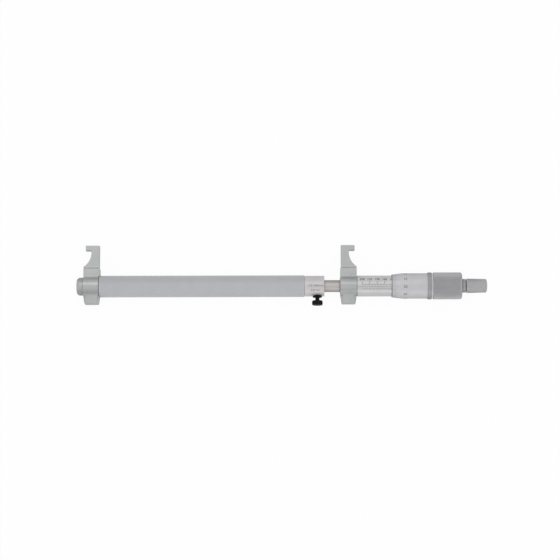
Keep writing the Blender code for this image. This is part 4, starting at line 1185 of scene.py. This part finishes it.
class Marks:
    """Filled lines and numbers on round surfaces, whose radius is a number or depends on x."""

    def __init__(self):
        self.work = bmesh.new()

    def wrap(self, flat, radius, x, angle):
        """Lay flat faces in (u, v) on the surface, u along X and v towards +Y, and thicken them."""
        grown = bmesh.ops.extrude_face_region(flat, geom=flat.faces[:], use_keep_orig=True)
        top = {item for item in grown["geom"] if isinstance(item, bmesh.types.BMVert)}
        for vertex in flat.verts:
            u, v, _ = vertex.co
            here = radius(x + u) if callable(radius) else radius
            lift = MARK_RISE if vertex in top else -MARK_SUNK
            vertex.co = on_axis(x + u, here + lift, angle + v / here)
        bmesh.ops.recalc_face_normals(flat, faces=flat.faces)
        mesh = bpy.data.meshes.new("part")
        flat.to_mesh(mesh)
        flat.free()
        self.work.from_mesh(mesh)
        bpy.data.meshes.remove(mesh)

    def bar(self, radius, x, angle, length, height):
        """A bar, length long on X and height tall round the axis, centred on its place."""
        count = max(1, round(height / BAR_PIECE))
        flat = bmesh.new()
        rows = []
        for i in range(count + 1):
            v = height * (i / count - 0.5)
            rows.append([flat.verts.new((side * length / 2, v, 0)) for side in (-1, 1)])
        for first, second in zip(rows, rows[1:]):
            flat.faces.new((first[0], first[1], second[1], second[0]))
        self.wrap(flat, radius, x, angle)

    def text(self, words, radius, x, angle, height, stretch=1.0):
        """Words that read along X, centred on their place. height is that of a digit."""
        curve = bpy.data.curves.new("words", "FONT")
        curve.body = words
        curve.size = height / DIGIT_SHARE
        curve.align_x = "CENTER"
        curve.align_y = "CENTER"
        curve.resolution_u = 4
        curve.offset = height * BOLDER
        holder = put("words", curve)
        mesh = mesh_of(holder)
        bpy.data.objects.remove(holder, do_unlink=True)
        bpy.data.curves.remove(curve)
        flat = bmesh.new()
        flat.from_mesh(mesh)
        bpy.data.meshes.remove(mesh)
        bmesh.ops.remove_doubles(flat, verts=flat.verts, dist=TEXT_SLIVER)
        lows = min(vertex.co.y for vertex in flat.verts)
        highs = max(vertex.co.y for vertex in flat.verts)
        for vertex in flat.verts:
            vertex.co = (vertex.co.x * stretch, vertex.co.y - (lows + highs) / 2, 0)
        cuts = int((highs - lows) / TEXT_PIECE)
        for i in range(-cuts, cuts + 1):
            geometry = flat.verts[:] + flat.edges[:] + flat.faces[:]
            spot = (0, i * TEXT_PIECE, 0)
            bmesh.ops.bisect_plane(flat, geom=geometry, plane_co=spot, plane_no=(0, 1, 0))
        self.wrap(flat, radius, x, angle)

    def finish(self, name, body, look):
        mesh = bpy.data.meshes.new(name)
        self.work.to_mesh(mesh)
        self.work.free()
        piece(name, mesh, look, body)


def sleeve_marks():
    """The main scale: an index line, millimetres above it and half millimetres below it."""
    marks = Marks()
    radius = SLEEVE_D / 2

    def stroke(x, low, high, width):
        """A stroke round the sleeve between two distances from the index line."""
        marks.bar(radius, x, INDEX_ANGLE + (low + high) / 2 / radius, width, high - low)

    count = round((CLOSING_TRAVEL + OPENING_TRAVEL) / MM)
    start, end = ZERO_MARK - INDEX_BEFORE, ZERO_MARK + count * MM + INDEX_AFTER
    marks.bar(radius, (start + end) / 2, INDEX_ANGLE, end - start, INDEX_WIDTH)
    number_angle = INDEX_ANGLE + SLEEVE_NUMBER_PLACE / radius
    for i in range(count + 1):
        x = ZERO_MARK + i * MM
        stroke(x, *(FULL_STROKE if i % 5 else FIFTH_STROKE))
        if i < count:
            stroke(x + MM / 2, *HALF_STROKE)
        if i % 5 == 0:
            number = str(round((READING + OPENING_TRAVEL) / MM) - i)
            marks.text(number, radius, x, number_angle, SLEEVE_NUMBER_HEIGHT, 0.95)
    marks.finish("sleeve_scale", "frame", MARK_BLACK)


def thimble_marks():
    """The thimble's divisions on its bevel, of 0.01 mm each, with a number at every fifth."""
    marks = Marks()
    edge_r, barrel_r = THIMBLE_EDGE_D / 2, THIMBLE_D / 2
    low, high = THIMBLE_START + EDGE_CORNER, THIMBLE_START + CONE_LENGTH - CONE_EASE

    def bevel_r(x):
        share = (x - low) / (high - low)
        return edge_r + (barrel_r - CONE_DROP - edge_r) * min(max(share, 0.0), 1.0)

    start = THIMBLE_START + THIMBLE_STROKE_START
    number_x = THIMBLE_START + THIMBLE_NUMBER_PLACE
    at_index = round((READING / MM % 0.5) / 0.01)
    for i in range(DIVISIONS):
        angle = INDEX_ANGLE - 2 * math.pi * (i - at_index) / DIVISIONS
        length = DIVISION_LENGTH if i % 5 else FIFTH_LENGTH
        marks.bar(bevel_r, start + length / 2, angle, length, THIMBLE_STROKE_WIDTH)
        if i % 5 == 0:
            marks.text(str(i), barrel_r, number_x, angle, THIMBLE_NUMBER_HEIGHT)
    marks.finish("thimble_scale", "screw", MARK_GREY)


def collar_marks():
    """The range and the smallest reading, on the collar."""
    marks = Marks()
    middle = COLLAR_START + COLLAR_TEXT_PLACE
    for words, turn, stretch in COLLAR_TEXTS:
        angle = math.radians(turn) - LEAN
        marks.text(words, COLLAR_D / 2, middle, angle, COLLAR_TEXT_HEIGHT, stretch)
    marks.finish("collar_numbers", "slider", MARK_FADED)


# ---- The object

left_jaw()
right_jaw()
guide_tube()
range_collar()
guide_rod()
clamp_screw()
graduated_sleeve()
thimble()
thimble_nut()
ratchet_knob()
ratchet_screw()
sleeve_marks()
thimble_marks()
collar_marks()

LOOKS = (
    (PLAIN_STEEL, "key_screw", "thrust_seat", "retaining_nut", "push_rod"),
    (PLAIN_STEEL, "inner_sleeve", "adjusting_nut", "spindle"),
    (OILED_STEEL, "ratchet_pawl", "ratchet_spring"),
    (BRASS, "clamp_pad"),
)
for look, *node_names in LOOKS:
    for node_name in node_names:
        for slot in frame["nodes"][node_name].material_slots:
            slot.material = look


# ---- Floor, light and camera

FLOOR_SIZE = 3.0
FLOOR_ALBEDO = 0.95
FLOOR_GLOW_SHARE = 0.95
WORLD_LIGHT = 0.86
CAMERA_HEIGHT = 1.5
CAMERA_OVER = 130.2 * MM
CAMERA_SHIFT = 4.17 * MM
CAMERA_TURN = -0.13
VIEW_WIDTH = 374.7 * MM
SENSOR_WIDTH = 36.0
WHITE = (1.0, 1.0, 1.0, 1.0)


def floor():
    """A pale floor under the tool, as white as the background where no shadow falls."""
    mesh = bpy.data.meshes.new("floor")
    corners = [(x * FLOOR_SIZE, y * FLOOR_SIZE, 0) for x, y in ((-1, -1), (1, -1), (1, 1), (-1, 1))]
    mesh.from_pydata(corners, [], [(0, 1, 2, 3)])
    made = put("floor", mesh)
    made.location.z = cad_box[0][2]
    look = bpy.data.materials.new("floor")
    nodes = Nodes(look)
    albedo = (FLOOR_ALBEDO, FLOOR_ALBEDO, FLOOR_ALBEDO, 1.0)
    shader = nodes.own["Principled BSDF"]
    nodes.feed(shader, {"Base Color": albedo, "Roughness": 0.9, "Specular IOR Level": 0.1})
    glow = nodes.node("ShaderNodeEmission", {"Color": WHITE, "Strength": 1.0})
    shown, lit = glow.outputs["Emission"], shader.outputs["BSDF"]
    nodes.show(shown, FLOOR_GLOW_SHARE, lit, nodes.own["Material Output"])
    mesh.materials.append(look)


def world():
    """White to the camera, and a little less than that as light."""
    made = bpy.data.worlds.new("studio")
    bpy.context.scene.world = made
    nodes = Nodes(made)
    soft = nodes.own["Background"]
    nodes.feed(soft, {"Color": WHITE, "Strength": WORLD_LIGHT})
    white = nodes.node("ShaderNodeBackground", {"Color": WHITE, "Strength": 1.0})
    shown, lit = white.outputs["Background"], soft.outputs["Background"]
    nodes.show(shown, 1.0, lit, nodes.own["World Output"])


def softbox(name, place, size, watts):
    """A square lamp, size metres wide, that faces the middle of the tool."""
    lamp = bpy.data.lights.new(name, "AREA")
    lamp.shape = "SQUARE"
    lamp.size = size
    lamp.energy = watts
    made = put(name, lamp)
    made.location = place
    made.rotation_euler = Vector(place).to_track_quat("Z", "Y").to_euler()


def camera():
    """Straight down from above, a little to the tips' side of the axis."""
    over = TOOL @ Vector((CAMERA_OVER, 0, 0))
    data = bpy.data.cameras.new("camera")
    data.sensor_width = SENSOR_WIDTH
    data.lens = SENSOR_WIDTH * CAMERA_HEIGHT / VIEW_WIDTH
    data.clip_end = 20
    made = put("camera", data)
    made.location = (over.x, over.y + CAMERA_SHIFT, over.z + CAMERA_HEIGHT)
    made.rotation_euler = (0, 0, math.radians(CAMERA_TURN))
    bpy.context.scene.camera = made


floor()
world()
softbox("tips_softbox", (-0.15, 0.72, 1.1), 0.45, 0.62)
softbox("near_softbox", (0.2, -1.1, 0.65), 0.5, 0.52)
camera()
bpy.context.scene.view_settings.view_transform = "Standard"
